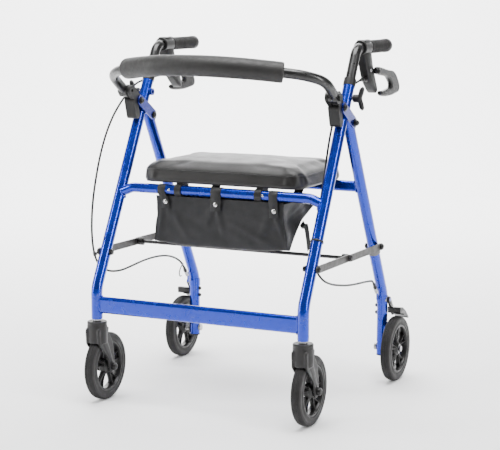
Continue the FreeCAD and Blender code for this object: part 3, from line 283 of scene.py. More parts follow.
def vinyl_finish():
    """Black upholstery vinyl with a pebbled leather grain and a warm bloom where it is rubbed."""
    vinyl = Finish(
        "seat_vinyl", (0.006, 0.0056, 0.0054), 0.42, specular_ior_level=0.45, sheen_weight=0.04,
        sheen_roughness=0.35,
    )
    grain = vinyl.cells(520)
    fine = vinyl.cells(1300)
    rubbed = vinyl.map(vinyl.noise(7, 5), 0.35, 0.7)
    vinyl.colours(rubbed, (0.0026, 0.0024, 0.0023), (0.0065, 0.0057, 0.0051))
    vinyl.roughness(vinyl.noise(26, 5), 0.36, 0.5)
    vinyl.bump(vinyl.both(grain, fine, "ADD"), 0.0002, 0.55)
    vinyl.bump(vinyl.noise(60, 4), 0.0006, 0.3)
    return vinyl.material


def weave_finish(name, colour, pale, thread=0.0007, roughness=0.62, bumpy=0.00016):
    """Plain-woven synthetic cloth: crossing threads, uneven dye and a faint sheen."""
    cloth = Finish(name, colour, roughness, specular_ior_level=0.4, sheen_weight=0.1, sheen_roughness=0.4)
    scale = 1 / thread / 3.14
    warp = cloth.stripes(scale, "X", distortion=0.6, detail=1.0)
    weft = cloth.stripes(scale, "DIAGONAL", stretch=(0, 1, 1), distortion=0.6, detail=1.0)
    weave = cloth.both(warp, weft)
    uneven = cloth.map(cloth.noise(45, 6), 0.3, 0.75)
    cloth.colours(cloth.both(uneven, cloth.map(weave, 0, 1, 0.5, 1)), colour, pale)
    cloth.roughness(cloth.noise(30, 4), roughness - 0.08, roughness + 0.08)
    cloth.bump(weave, bumpy, 0.7)
    cloth.bump(cloth.noise(70, 5), 0.0007, 0.35)
    return cloth.material


def rubber_finish(name, colour, pale, roughness=0.7):
    """Rubber with a bloom of dust, scuffs and a slightly pitted skin."""
    rubber = Finish(name, colour, roughness, specular_ior_level=0.35)
    scuffs = rubber.map(rubber.noise(65, 7), 0.42, 0.68)
    rubber.colours(scuffs, colour, pale)
    rubber.roughness(rubber.noise(40, 5), roughness - 0.1, roughness + 0.1)
    rubber.bump(rubber.noise(700, 5), 0.00012, 0.7)
    rubber.bump(rubber.noise(90, 4), 0.0003, 0.3)
    return rubber.material


def board_finish():
    """Plywood edge and face, stained dark."""
    board = Finish("seat_board", (0.012, 0.009, 0.007), 0.6)
    board.colours(board.noise(60, 6, stretch=(1, 12, 12)), (0.007, 0.0055, 0.004), (0.02, 0.015, 0.011))
    board.bump(board.noise(160, 5, stretch=(1, 14, 14)), 0.0002, 0.5)
    return board.material


FINISHES = {
    "blue": paint_finish("blue_lacquer", (0.0006, 0.016, 0.3), (0.0014, 0.04, 0.52)),
    # Pivot brackets: the blue tinted towards lavender is painted sheen, the violet gleam their flat faces
    # catch.
    "bracket_blue_painted_sheen": paint_finish("bracket_lacquer_painted_sheen", (0.006, 0.016, 0.24), (0.03, 0.05, 0.42), 0.5),
    "plastic": plastic_finish("black_plastic", (0.003, 0.0028, 0.0028), 0.44),
    "fork": plastic_finish("fork_plastic", (0.006, 0.0055, 0.0056), 0.46),
    # The knob's faint violet tint is painted sheen, standing in for the purple highlight on the black knob.
    "knob": plastic_finish("knob_plastic", (0.0028, 0.0024, 0.0034), 0.36),
    "hub": plastic_finish("hub_plastic", (0.0026, 0.0025, 0.0025), 0.34),
    "lever": plastic_finish("lever_plastic", (0.0026, 0.0025, 0.0025), 0.3, grain=900),
    "zinc": metal_finish("zinc_plate", (0.42, 0.42, 0.44), 0.26),
    "nickel": metal_finish("snap_nickel", (0.62, 0.61, 0.6), 0.16),
    "black_steel": metal_finish("black_steel", (0.012, 0.012, 0.013), 0.4, metallic=0.3),
    "tube": tube_finish(),
    "brace": metal_finish("brace_grey", (0.04, 0.037, 0.036), 0.42, metallic=0.35, brushed=(1, 0.05, 1)),
    "saddle": plastic_finish("saddle_grey", (0.13, 0.128, 0.132), 0.5, light=1.1),
    "tread": rubber_finish("tyre_tread", (0.0055, 0.0052, 0.0052), (0.011, 0.0105, 0.0105)),
    # Side walls lighter than the tread: painted highlight, standing in for the bright ring light puts on
    # their smooth faces.
    "side_wall": rubber_finish("tyre_side_wall", (0.015, 0.0142, 0.0142), (0.023, 0.022, 0.022), 0.62),
    "grip": rubber_finish("grip_rubber", (0.0075, 0.007, 0.007), (0.016, 0.015, 0.015), 0.6),
    "foam": foam_finish(),
    "vinyl": vinyl_finish(),
    "nylon": weave_finish("pouch_nylon", (0.0018, 0.0018, 0.0026), (0.0052, 0.0052, 0.0066)),
    "webbing": weave_finish("webbing", (0.0022, 0.0022, 0.0026), (0.0058, 0.0056, 0.0062), thread=0.0012),
    "thread": rubber_finish("thread", (0.012, 0.0112, 0.0112), (0.024, 0.0225, 0.022)),
    "cable": plastic_finish("cable_jacket", (0.005, 0.0048, 0.0048), 0.38, grain=2200, light=1.8),
    "board": board_finish(),
}


def finish(piece, name):
    """Gives a piece, or a CAD node, one of the finishes by its name."""
    slots = piece.material_slots
    if not slots:
        piece.data.materials.append(FINISHES[name])
    for slot in slots:
        slot.material = FINISHES[name]
    return piece


# ---------------------------------------------------------------- mesh helpers

def dress(piece, look, slot, body, *replaced):
    """Gives the piece its material, the CAD nodes it stands for and the body it rides on; slot is not used.
    """
    finish(piece, look)
    if replaced:
        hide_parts(*replaced)
    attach(piece, body)


def add_mesh(name, vertices, faces):
    mesh = bpy.data.meshes.new(name)
    mesh.from_pydata([tuple(v) for v in vertices], [], faces)
    mesh.validate()
    piece = bpy.data.objects.new(name, mesh)
    bpy.context.scene.collection.objects.link(piece)
    return piece


def smooth(piece, sharp_degrees=38):
    mesh = piece.data
    mesh.polygons.foreach_set("use_smooth", [True] * len(mesh.polygons))
    mesh.set_sharp_from_angle(angle=math.radians(sharp_degrees))
    mesh.update()
    return piece


def settle(piece):
    """Applies every modifier of a piece."""
    graph = bpy.context.evaluated_depsgraph_get()
    graph.update()
    mesh = bpy.data.meshes.new_from_object(piece.evaluated_get(graph))
    before = piece.data
    piece.modifiers.clear()
    piece.data = mesh
    mesh.name = piece.name
    bpy.data.meshes.remove(before)
    return piece


def outward(piece):
    """Turns the faces of a closed piece outwards."""
    work = bmesh.new()
    work.from_mesh(piece.data)
    bmesh.ops.remove_doubles(work, verts=work.verts, dist=1e-6)
    bmesh.ops.recalc_face_normals(work, faces=work.faces)
    work.to_mesh(piece.data)
    work.free()
    return piece


def bevelled(piece, width, segments=3, limit_degrees=32):
    bevel = piece.modifiers.new("bevel", "BEVEL")
    bevel.width = width
    bevel.segments = segments
    bevel.limit_method = "ANGLE"
    bevel.angle_limit = math.radians(limit_degrees)
    return smooth(settle(piece))


def joined(name, pieces):
    """One piece out of several, which keep their materials."""
    work = bmesh.new()
    materials = []
    for piece in pieces:
        start = len(work.faces)
        work.from_mesh(piece.data)
        work.faces.ensure_lookup_table()
        for face in work.faces[start:]:
            own = piece.data.materials[face.material_index] if piece.data.materials else None
            if own not in materials:
                materials.append(own)
            face.material_index = materials.index(own)
    mesh = bpy.data.meshes.new(name)
    work.to_mesh(mesh)
    work.free()
    for own in materials:
        if own:
            mesh.materials.append(own)
    for piece in pieces:
        discard(piece)
    whole = bpy.data.objects.new(name, mesh)
    bpy.context.scene.collection.objects.link(whole)
    return whole


def discard(piece):
    mesh = piece.data
    bpy.data.objects.remove(piece)
    if isinstance(mesh, bpy.types.Mesh):
        bpy.data.meshes.remove(mesh)


def moulded(name, pieces, voxel, rounds=6):
    """One moulded solid: the pieces run together, and every edge and inside corner softened."""
    whole = joined(name, pieces)
    remesh = whole.modifiers.new("remesh", "REMESH")
    remesh.mode = "VOXEL"
    remesh.voxel_size = voxel
    soften = whole.modifiers.new("soften", "SMOOTH")
    soften.factor = 0.5
    soften.iterations = rounds
    return smooth(settle(whole), 60)


def across(direction):
    """Two directions square to the given one and to each other."""
    direction = direction.normalized()
    helper = Z_AXIS if abs(direction.z) < 0.9 else Y_AXIS
    first = direction.cross(helper).normalized()
    return first, direction.cross(first).normalized()


def directions(path):
    ahead = [(path[min(i + 1, len(path) - 1)] - path[max(i - 1, 0)]).normalized() for i in range(len(path))]
    return ahead


def loft(name, rings, closed_ends=True):
    """Skin over rings of equally many points."""
    count = len(rings[0])
    vertices = [v for ring in rings for v in ring]
    faces = [
        (i * count + j, i * count + (j + 1) % count, (i + 1) * count + (j + 1) % count, (i + 1) * count + j)
        for i in range(len(rings) - 1)
        for j in range(count)
    ]
    if closed_ends:
        faces.append(tuple(reversed(range(count))))
        faces.append(tuple(range((len(rings) - 1) * count, len(rings) * count)))
    return outward(add_mesh(name, vertices, faces))


def tube(name, path, radius, sides=16):
    """A round tube along the path; radius is a number, or a function of the share of the way."""
    path = [Vector(p) for p in path]
    ahead = directions(path)
    first = across(ahead[0])[0]
    rings = []
    for i, (place, direction) in enumerate(zip(path, ahead)):
        first = (first - direction * first.dot(direction)).normalized()
        second = direction.cross(first)
        r = radius(i / (len(path) - 1)) if callable(radius) else radius
        turns = [2 * math.pi * k / sides for k in range(sides)]
        rings.append([place + (first * math.cos(t) + second * math.sin(t)) * r for t in turns])
    return smooth(loft(name, rings))


def lathe(name, profile, centre, axis, steps=72, looped=False):
    """Turns (along, radius) points about an axis through centre; looped joins the last point to the first."""
    axis = axis.normalized()
    first, second = across(axis)
    vertices, faces, rows = [], [], []
    for along, radius in profile:
        count = 1 if radius < 1e-7 else steps
        rows.append(list(range(len(vertices), len(vertices) + count)))
        for k in range(count):
            turn = 2 * math.pi * k / steps
            out = first * math.cos(turn) + second * math.sin(turn)
            vertices.append(Vector(centre) + axis * along + out * radius)
    pairs = list(zip(rows, rows[1:])) + ([(rows[-1], rows[0])] if looped else [])
    for one, two in pairs:
        for k in range(steps):
            corners = [one[k % len(one)], one[(k + 1) % len(one)], two[(k + 1) % len(two)], two[k % len(two)]]
            face = list(dict.fromkeys(corners))
            if len(face) > 2:
                faces.append(tuple(face))
    return smooth(outward(add_mesh(name, vertices, faces)))


def plate(name, outline, low, high, origin=(0, 0, 0), across_axis=X_AXIS, up_axis=None):
    """A flat plate: outline points in the plane square to across_axis, from low to high along it."""
    if up_axis is None:
        first, second = Y_AXIS, Z_AXIS
    else:
        second = up_axis
        first = second.cross(across_axis)
    rings = [
        [Vector(origin) + across_axis * at + first * u + second * v for u, v in outline]
        for at in (low, high)
    ]
    return loft(name, rings)


def rounded(points, steps=6, tension=0.5):
    """A closed smooth outline through the points."""
    count = len(points)
    out = []
    for i in range(count):
        p0, p1, p2, p3 = (Vector(points[(i + k - 1) % count]) for k in range(4))
        for k in range(steps):
            t = k / steps
            m1, m2 = (p2 - p0) * tension, (p3 - p1) * tension
            a, b = 2 * t**3 - 3 * t**2 + 1, t**3 - 2 * t**2 + t
            c, d = -2 * t**3 + 3 * t**2, t**3 - t**2
            out.append(tuple(p1 * a + m1 * b + p2 * c + m2 * d))
    return out


def capsule_outline(first, second, radius, steps=10):
    """Outline of a bar with round ends between two points of a plane."""
    one, two = Vector(first), Vector(second)
    turn = math.atan2((two - one).y, (two - one).x)
    out = []
    for centre, start in ((two, turn - math.pi / 2), (one, turn + math.pi / 2)):
        for k in range(steps + 1):
            a = start + math.pi * k / steps
            out.append((centre.x + radius * math.cos(a), centre.y + radius * math.sin(a)))
    return out


def nurbs_line(name, points):
    """Points along the smooth line that a route makes."""
    curve = bpy.data.curves.new(name, "CURVE")
    curve.dimensions = "3D"
    curve.resolution_u = 10
    spline = curve.splines.new("NURBS")
    spline.points.add(len(points) - 1)
    for point, place in zip(spline.points, points):
        point.co = (*place, 1)
    spline.order_u = 3
    spline.use_endpoint_u = True
    holder = bpy.data.objects.new(name, curve)
    mesh = bpy.data.meshes.new_from_object(holder)
    line = [v.co.copy() for v in mesh.vertices]
    bpy.data.objects.remove(holder)
    bpy.data.meshes.remove(mesh)
    bpy.data.curves.remove(curve)
    return line


def length_of(line):
    return sum((b - a).length for a, b in zip(line, line[1:]))


def strap(name, path, sideways, width, thick):
    """A flat strap along the path; sideways is the way its width lies."""
    path = [Vector(p) for p in path]
    sideways = Vector(sideways).normalized()
    half, edge = width / 2, thick * 0.35
    rings = []
    for place, direction in zip(path, directions(path)):
        up = sideways.cross(direction).normalized()
        corners = [
            (-half, -thick / 2 + edge), (-half + edge, -thick / 2), (half - edge, -thick / 2),
            (half, -thick / 2 + edge), (half, thick / 2 - edge), (half - edge, thick / 2),
            (-half + edge, thick / 2), (-half, thick / 2 - edge),
        ]
        rings.append([place + sideways * a + up * b for a, b in corners])
    return smooth(loft(name, rings), 50)


def arc(centre, radius, start, end, steps, x=0.0):
    """Points round centre, a Y and Z pair, from one angle to another in degrees."""
    out = []
    for k in range(steps + 1):
        a = math.radians(start + (end - start) * k / steps)
        out.append(Vector((x, centre[0] + radius * math.cos(a), centre[1] + radius * math.sin(a))))
    return out


# ---------------------------------------------------------------- brake cables

CABLE_DIAMETER = 0.005
CABLE_LEFT = (
    (-0.250, 0.076, 0.716), (-0.250, 0.058, 0.716), (-0.259, 0.034, 0.712), (-0.269, 0.002, 0.706),
    (-0.273, -0.028, 0.699), (-0.275, -0.058, 0.682), (-0.279, -0.090, 0.656), (-0.280, -0.122, 0.628),
    (-0.279, -0.155, 0.590), (-0.278, -0.182, 0.545), (-0.277, -0.203, 0.496), (-0.277, -0.218, 0.445),
    (-0.277, -0.224, 0.393), (-0.276, -0.222, 0.345), (-0.271, -0.212, 0.306), (-0.259, -0.188, 0.286),
    (-0.250, -0.150, 0.281), (-0.250, -0.102, 0.283), (-0.250, -0.052, 0.287), (-0.250, -0.002, 0.288),
    (-0.250, 0.048, 0.285), (-0.250, 0.092, 0.277), (-0.250, 0.130, 0.263), (-0.250, 0.156, 0.246),
    (-0.250, 0.170, 0.226),
)
CABLE_RIGHT = (
    (0.250, 0.076, 0.716), (0.250, 0.058, 0.716), (0.239, 0.034, 0.704), (0.229, 0.008, 0.682),
    (0.226, -0.024, 0.652), (0.227, -0.052, 0.614), (0.229, -0.078, 0.565), (0.231, -0.098, 0.515),
    (0.231, -0.119, 0.464), (0.231, -0.143, 0.412), (0.233, -0.163, 0.365), (0.240, -0.166, 0.327),
    (0.248, -0.146, 0.300), (0.250, -0.104, 0.284), (0.250, -0.055, 0.273), (0.250, -0.005, 0.264),
    (0.250, 0.045, 0.258), (0.250, 0.092, 0.254), (0.250, 0.130, 0.250), (0.250, 0.156, 0.246),
    (0.250, 0.170, 0.226),
)
CABLE_CLIP_Z = {"left": 0.330, "right": 0.385}  # where each cable is held at the front leg


def front_leg_middle(height, side):
    """The front leg's middle line above its bend."""
    bend_z = 0.2588
    return Vector((side * LEG_X, STEM_Y + (height - bend_z) * math.tan(LEAN), height))


def add_brake_cables():
    """Each cable in two pieces that meet at the front leg: one reaches up to the handle, one back
    to the brake.
    """
    for name, side in SIDES:
        line = nurbs_line(f"cable_line_{name}", CABLE_LEFT if side < 0 else CABLE_RIGHT)
        clip_z = CABLE_CLIP_Z[name]
        split = min(range(len(line)), key=lambda i: abs(line[i].z - clip_z))
        runs = (
            ("upper", line[: split + 1], (f"handle_{name}", "front_frame")),
            ("lower", line[split:], ("front_frame", "rear_frame")),
        )
        for part, run, bodies in runs:
            cable = tube(f"brake_cable_{part}_{name}", run, CABLE_DIAMETER / 2, 14)
            finish(cable, "cable")
            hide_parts(f"brake_cable_{name}")
            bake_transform(cable)
        add_ferrule(f"cable_ferrule_{name}", line[0], line[0] - line[3], f"handle_{name}")
        add_ferrule(f"cable_end_{name}", line[-1], line[-1] - line[-4], "rear_frame")
        add_cable_clip(name, side, line[split], line[split + 1] - line[split - 1])


def add_ferrule(name, place, inward, body):
    """A stepped metal cap where a cable goes into its socket, tapering onto the jacket."""
    profile = [
        (-0.016, 0.0027), (-0.0155, 0.0032), (-0.006, 0.0037), (-0.0055, 0.0044), (-0.001, 0.0046),
        (0.0, 0.004),
    ]
    ferrule = lathe(name, [(-0.016, 0)] + profile + [(0.0, 0)], place, inward, 24)
    dress(ferrule, "black_steel", "black_steel", body)


def add_cable_clip(name, side, place, direction):
    """A zip tie round the cable, and on the right round the leg beside it too."""
    direction = direction.normalized()
    if side > 0:
        leg = front_leg_middle(place.z + 0.004, side)
        axis = Vector((0, math.sin(LEAN), math.cos(LEAN)))
        first = X_AXIS
        second = axis.cross(first)
        reach = (place - leg) - axis * (place - leg).dot(axis)
        path = [
            leg + (first * math.cos(t) + second * math.sin(t)) * (LEG_RADIUS + 0.0008) for t in turns_of(40)
        ]
        path = [
            p + reach.normalized() * 0.0075 * max(0.0, (p - leg).normalized().dot(reach.normalized())) ** 3
            for p in path
        ]
        band = strap(f"zip_tie_{name}", path + path[:2], axis, 0.0048, 0.0013)
        head_at, head_up = leg + reach.normalized() * (LEG_RADIUS + 0.0095), axis
    else:
        band = lathe(
            f"zip_tie_{name}", [(-0.004, 0.0026), (-0.004, 0.0035), (0.004, 0.0035), (0.004, 0.0026)],
            place, direction, 24, looped=True,
        )
        head_at, head_up = place + across(direction)[0] * 0.004, direction
    out = across(head_up)[0]
    head = bevelled(
        plate(
            f"zip_head_{name}", [(-0.003, -0.003), (0.003, -0.003), (0.003, 0.003), (-0.003, 0.003)],
            -0.002, 0.002, head_at, out, head_up,
        ),
        0.0006, 2,
    )
    clip = joined(f"cable_clip_{name}", [band, head])
    dress(clip, "plastic", "black_plastic", "front_frame")


def turns_of(count):
    return [2 * math.pi * k / count for k in range(count + 1)]


# ---------------------------------------------------------------- wheels and casters

def add_wheel(node_prefix, name, body, half_boss):
    """Tyre with a crowned tread and stepped side walls, and a spoked hub with a bearing on each side."""
    centre = middle_of(f"{node_prefix}_tyre_{name}")
    add_tyre(f"{node_prefix}_tyre_{name}", centre, body)
    add_hub(f"{node_prefix}_hub_{name}", centre, body, half_boss)


def add_tyre(node, centre, body):
    half, outer, inner = 0.012, WHEEL_RADIUS, WHEEL_RADIUS - 0.020
    side_wall = [
        (half - 0.0012, inner), (half, inner + 0.0008), (half, inner + 0.0028),
        (half - 0.0009, inner + 0.0040),
        (half - 0.0010, inner + 0.0100), (half - 0.0004, inner + 0.0112), (half - 0.0006, inner + 0.0138),
    ]
    tread = [
        (half - 0.0016, outer - 0.0030), (half - 0.0033, outer - 0.0014), (half - 0.0058, outer - 0.0005),
        (half - 0.0080, outer - 0.0002), (half - 0.0085, outer - 0.0009), (half - 0.0092, outer - 0.0009),
        (half - 0.0097, outer - 0.0001), (0.0, outer),
    ]
    half_profile = side_wall + tread
    profile = half_profile + [(-a, r) for a, r in reversed(half_profile[:-1])]
    tyre = lathe(f"{node}_moulded", profile, centre, X_AXIS, 128, looped=True)
    # The side faces get the lighter side wall rubber, a painted highlight ring.
    tyre.data.materials.append(FINISHES["tread"])
    tyre.data.materials.append(FINISHES["side_wall"])
    for face in tyre.data.polygons:
        middle = face.center - centre
        radius = math.hypot(middle.y, middle.z)
        face.material_index = 1 if radius < outer - 0.0045 else 0
    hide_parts(node)
    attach(tyre, body)


def add_hub(node, centre, body, half_boss):
    """Rim, five forked spokes, dished web and boss."""
    rim_radius, rim_half = WHEEL_RADIUS - 0.0201, 0.011
    rim = lathe("rim", [
        (-rim_half, rim_radius), (-rim_half, rim_radius - 0.0035), (-rim_half + 0.0025, rim_radius - 0.0052),
        (-0.003, rim_radius - 0.0062), (0.003, rim_radius - 0.0062),
        (rim_half - 0.0025, rim_radius - 0.0052), (rim_half, rim_radius - 0.0035), (rim_half, rim_radius),
    ], centre, X_AXIS, 96, looped=True)
    boss = lathe("boss", [
        (-half_boss, 0.0052), (-half_boss, 0.0110), (-half_boss + 0.0010, 0.0125), (-0.006, 0.0150),
        (-0.004, 0.0185),
        (0.004, 0.0185), (0.006, 0.0150), (half_boss - 0.0010, 0.0125), (half_boss, 0.0110),
        (half_boss, 0.0052),
    ], centre, X_AXIS, 64, looped=True)
    bearings = [
        lathe("bearing", [
            (s * (half_boss - 0.0022), 0.0052), (s * (half_boss + 0.0001), 0.0054),
            (s * (half_boss + 0.0001), 0.0068), (s * (half_boss - 0.0005), 0.0072),
            (s * (half_boss - 0.0005), 0.0086), (s * (half_boss + 0.0001), 0.0090),
            (s * (half_boss + 0.0001), 0.0098), (s * (half_boss - 0.0022), 0.0098),
        ], centre, X_AXIS, 48, looped=True)
        for s in (-1, 1)
    ]
    spokes = []
    for k in range(5):
        turn = 2 * math.pi * (k + 0.25) / 5
        out = Vector((0, math.cos(turn), math.sin(turn)))
        aside = X_AXIS.cross(out)
        for lean in (-1, 1):
            start, end = 0.0165, rim_radius - 0.0045
            sections = []
            for step in range(7):
                share = step / 6
                along = start + (end - start) * share
                sway = lean * (0.0022 + 0.0085 * share**1.6)
                wide = 0.0026 - 0.0008 * share + 0.0012 * share**4
                deep = 0.0075 - 0.0018 * math.sin(math.pi * share)
                place = Vector(centre) + out * along + aside * sway
                sections.append([
                    place + aside * (wide * math.cos(t))
                    + X_AXIS * (deep * math.sin(t) / max(abs(math.sin(t)), abs(math.cos(t)), 0.72) * 0.9)
                    for t in turns_of(12)[:-1]
                ])
            spokes.append(loft("spoke", sections))
        web = [(0.0175, -0.006), (0.0175, 0.006), (rim_radius - 0.014, 0.0095), (rim_radius - 0.005, 0.0125),
               (rim_radius - 0.005, -0.0125), (rim_radius - 0.014, -0.0095)]
        spokes.append(plate("web", web, -0.0016, 0.0016, centre, X_AXIS, aside))
    hub = joined(f"{node}_moulded", [rim, boss] + [bevelled(s, 0.0005, 1, 50) for s in spokes])
    dress(smooth(hub, 40), "hub", "black_plastic", body, node)
    pair = joined(f"{node}_bearings", bearings)
    dress(pair, "zinc", "zinc_steel", body)


FORK_INNER = 0.0135  # half the space between a fork's blades
FORK_OUTER = 0.018


def add_caster_fork(name, side):
    """Moulded fork: a tall round crown whose skirt runs down into two straight blades, with a capped axle."""
    stem = Vector((side * LEG_X, STEM_Y, 0))
    axle = Vector((side * LEG_X, FRONT_AXLE.y, WHEEL_RADIUS))
    top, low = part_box(f"caster_fork_{name}")[1].z, 0.136
    crown = lathe("crown", [
        (low, 0), (low, 0.0218), (low + 0.008, 0.0224), (top - 0.009, 0.0224), (top - 0.0078, 0.0216),
        (top - 0.0066, 0.0216), (top - 0.0056, 0.0224), (top - 0.0012, 0.0222), (top, 0.0208), (top, 0),
    ], stem, Z_AXIS, 72)
    blade = [
        (stem.y - 0.0205, 0.170), (stem.y - 0.0210, 0.146), (stem.y - 0.0180, 0.132),
        (axle.y - 0.0165, 0.098),
        (axle.y - 0.0125, 0.077), (axle.y - 0.0080, 0.0650), (axle.y, 0.0610), (axle.y + 0.0080, 0.0650),
        (axle.y + 0.0125, 0.077), (axle.y + 0.0110, 0.105), (axle.y + 0.0040, 0.134),
        (stem.y + 0.0200, 0.157),
        (stem.y + 0.0200, 0.170),
    ]
    outline = rounded(blade, 3, 0.35)
    pieces = [crown]
    for s in (-1, 1):
        inner, outer = sorted((s * (FORK_INNER - 0.001), s * FORK_OUTER))
        pieces.append(plate("blade", outline, stem.x + inner, stem.x + outer))
        boss = [
            (s * 0.0125, 0), (s * 0.0125, 0.0115), (s * 0.0192, 0.0105), (s * 0.0200, 0.0095),
            (s * 0.0200, 0),
        ]
        pieces.append(lathe("boss", boss, axle, X_AXIS, 36))
        rib = rounded(
            [
                (stem.y - 0.013, 0.150), (axle.y - 0.007, 0.092), (axle.y + 0.001, 0.090),
                (stem.y + 0.004, 0.150),
            ],
            4, 0.3,
        )
        ribs = sorted((s * (FORK_OUTER - 0.002), s * (FORK_OUTER + 0.0012)))
        pieces.append(plate("rib", rib, stem.x + ribs[0], stem.x + ribs[1]))
    shoulder = [
        (stem.y - 0.0205, 0.170), (stem.y - 0.0210, 0.150), (stem.y + 0.0200, 0.153),
        (stem.y + 0.0200, 0.170),
    ]
    pieces.append(plate("shoulder", shoulder, stem.x - FORK_OUTER, stem.x + FORK_OUTER))
    rough = moulded("fork_rough", pieces, 0.0012, 2)
    well = lathe(
        "wheel_well",
        [
            (-FORK_INNER, 0), (-FORK_INNER, WHEEL_RADIUS + 0.0032), (FORK_INNER, WHEEL_RADIUS + 0.0032),
            (FORK_INNER, 0),
        ],
        axle, X_AXIS, 96,
    )
    cut = rough.modifiers.new("cut", "BOOLEAN")
    cut.operation = "DIFFERENCE"
    cut.object = well
    settle(rough)
    discard(well)
    fork = moulded(f"caster_fork_{name}_moulded", [rough], 0.0011, 5)
    dress(fork, "fork", "black_plastic", f"caster_{name}", f"caster_fork_{name}")

    pins = []
    for s in (-1, 1):
        pins.append(lathe("cap", [
            (s * 0.0180, 0), (s * 0.0180, 0.0085), (s * 0.0200, 0.0088), (s * 0.0262, 0.0082),
            (s * 0.0284, 0.0066),
            (s * 0.0290, 0.0040), (s * 0.0282, 0.0034), (s * 0.0282, 0),
        ], axle, X_AXIS, 40))
    shaft = lathe("shaft", [(-0.019, 0), (-0.019, 0.0046), (0.019, 0.0046), (0.019, 0)], axle, X_AXIS, 32)
    axle_piece = joined(f"front_axle_{name}_capped", pins + [shaft])
    dress(smooth(axle_piece), "hub", "zinc_steel", f"caster_{name}", f"front_axle_{name}")


# ---------------------------------------------------------------- handles and brakes

def add_grip(name, side):
    """Ribbed rubber grip with a flange at the front and a smooth plug at the end."""
    low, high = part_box(f"grip_{name}")
    start, end = low.y, high.y
    profile = [
        (start, 0.0112), (start, 0.0165), (start + 0.0008, 0.0172), (start + 0.0032, 0.0172),
        (start + 0.0042, 0.0160),
    ]
    pitch, along = 0.0052, start + 0.0055
    while along + pitch < end - 0.016:
        for share, radius in (
            (0.0, 0.0134), (0.16, 0.0136), (0.28, 0.0147), (0.5, 0.0150), (0.72, 0.0147), (0.84, 0.0136)
        ):
            profile.append((along + share * pitch, radius))
        along += pitch
    profile += [(along, 0.0134), (along + 0.0006, 0.0152), (along + 0.0015, 0.0155)]
    profile += [
        (end - 0.0035, 0.0155), (end - 0.0012, 0.0144), (end, 0.0120), (end, 0.0035),
        (end - 0.0015, 0.0030), (end - 0.0015, 0),
    ]
    body = lathe(f"grip_{name}_ribbed", profile, (side * LEG_X, 0, GRIP_Z), Y_AXIS, 56)
    dress(body, "grip", "grip_rubber", f"handle_{name}", f"grip_{name}")


HOUSING_OUTLINE = (
    (0.0572, 0.8012), (0.0750, 0.8038), (0.0920, 0.8018), (0.0998, 0.7925), (0.1012, 0.7730),
    (0.1095, 0.7485),
    (0.1235, 0.7215), (0.1380, 0.6975), (0.1392, 0.6885), (0.1335, 0.6828), (0.1212, 0.6885),
    (0.1082, 0.6985),
    (0.0948, 0.7105), (0.0842, 0.7255), (0.0742, 0.7440), (0.0632, 0.7650), (0.0575, 0.7800),
)


def add_brake_housing(name, side):
    """Two moulded halves clamped round the handle tube, with the lever's pin, a clamp screw and
    the cable's socket.
    """
    x = side * LEG_X
    half = 0.011
    outline = rounded(HOUSING_OUTLINE, 4, 0.5)
    shrunk = [tuple(p) for p in shrink(outline, 0.0045)]
    shells = [bevelled(plate("shell", outline, x - half, x + half), 0.0036, 4)]
    ridge = bevelled(plate("ridge", shrunk, x - half - 0.0009, x + half + 0.0009), 0.0008, 2)
    for start, end in (((0.1130, 0.7440), (0.1180, 0.7350)), ((0.1290, 0.7155), (0.1345, 0.7065))):
        shells.append(
            bevelled(plate("rib", capsule_outline(start, end, 0.0030), x - 0.0070, x + 0.0070), 0.0010, 2)
        )
    collar = lathe("collar", [
        (0.0560, 0.0112), (0.0560, 0.0150), (0.0572, 0.0162), (0.0940, 0.0162), (0.0972, 0.0158),
        (0.0980, 0.0148), (0.0980, 0.0112),
    ], (x, 0, GRIP_Z), Y_AXIS, 48, looped=True)
    socket = lathe("socket", [
        (0.0760, 0), (0.0760, 0.0046), (0.0770, 0.0052), (0.0900, 0.0056), (0.0960, 0.0070),
        (0.1020, 0.0070), (0.1020, 0),
    ], (x, 0, 0.716), Y_AXIS, 32)
    pin = lathe(
        "pin",
        [
            (0.010, 0), (0.010, 0.0060), (0.0118, 0.0060), (0.0118, 0.0038), (0.0262, 0.0038),
            (0.0262, 0.0030), (0.0268, 0),
        ],
        (x, *LEVER_PIN), X_AXIS * side, 32,
    )
    housing = joined(f"brake_housing_{name}_moulded", shells + [ridge, collar, socket, pin])
    dress(smooth(housing), "plastic", "black_plastic", f"handle_{name}", f"brake_housing_{name}")
    screws = [hex_nut((x - side * (half + 0.0006), 0.1030, 0.7150), X_AXIS * -side, 0.0052, 0.0036)]
    for s in (-1, 1):
        screws.append(pan_screw((x + s * (half + 0.0008), 0.0950, 0.7360), X_AXIS * s, 0.0042))
        screws.append(pan_screw((x + s * (half + 0.0006), 0.0905, 0.7960), X_AXIS * s, 0.0028))
    screws = joined(f"brake_housing_screws_{name}", screws)
    dress(screws, "zinc", "zinc_steel", f"handle_{name}")


def shrink(outline, distance):
    """The outline moved inwards."""
    count = len(outline)
    area = sum(
        outline[i][0] * outline[(i + 1) % count][1] - outline[(i + 1) % count][0] * outline[i][1]
        for i in range(count)
    )
    turn = 1 if area > 0 else -1
    out = []
    for i in range(count):
        before, after = Vector(outline[i - 1]), Vector(outline[(i + 1) % count])
        along = (after - before).normalized()
        out.append(Vector(outline[i]) + Vector((-along.y, along.x)) * distance * turn)
    return out


def pan_screw(place, outward_way, radius):
    """A domed screw head with a cross recess."""
    head = lathe("head", [
        (-0.0010, 0), (-0.0010, radius), (radius * 0.12, radius), (radius * 0.34, radius * 0.82),
        (radius * 0.46, radius * 0.5), (radius * 0.46, radius * 0.36), (radius * 0.2, radius * 0.3),
        (radius * 0.2, 0),
    ], place, outward_way, 28)
    return head


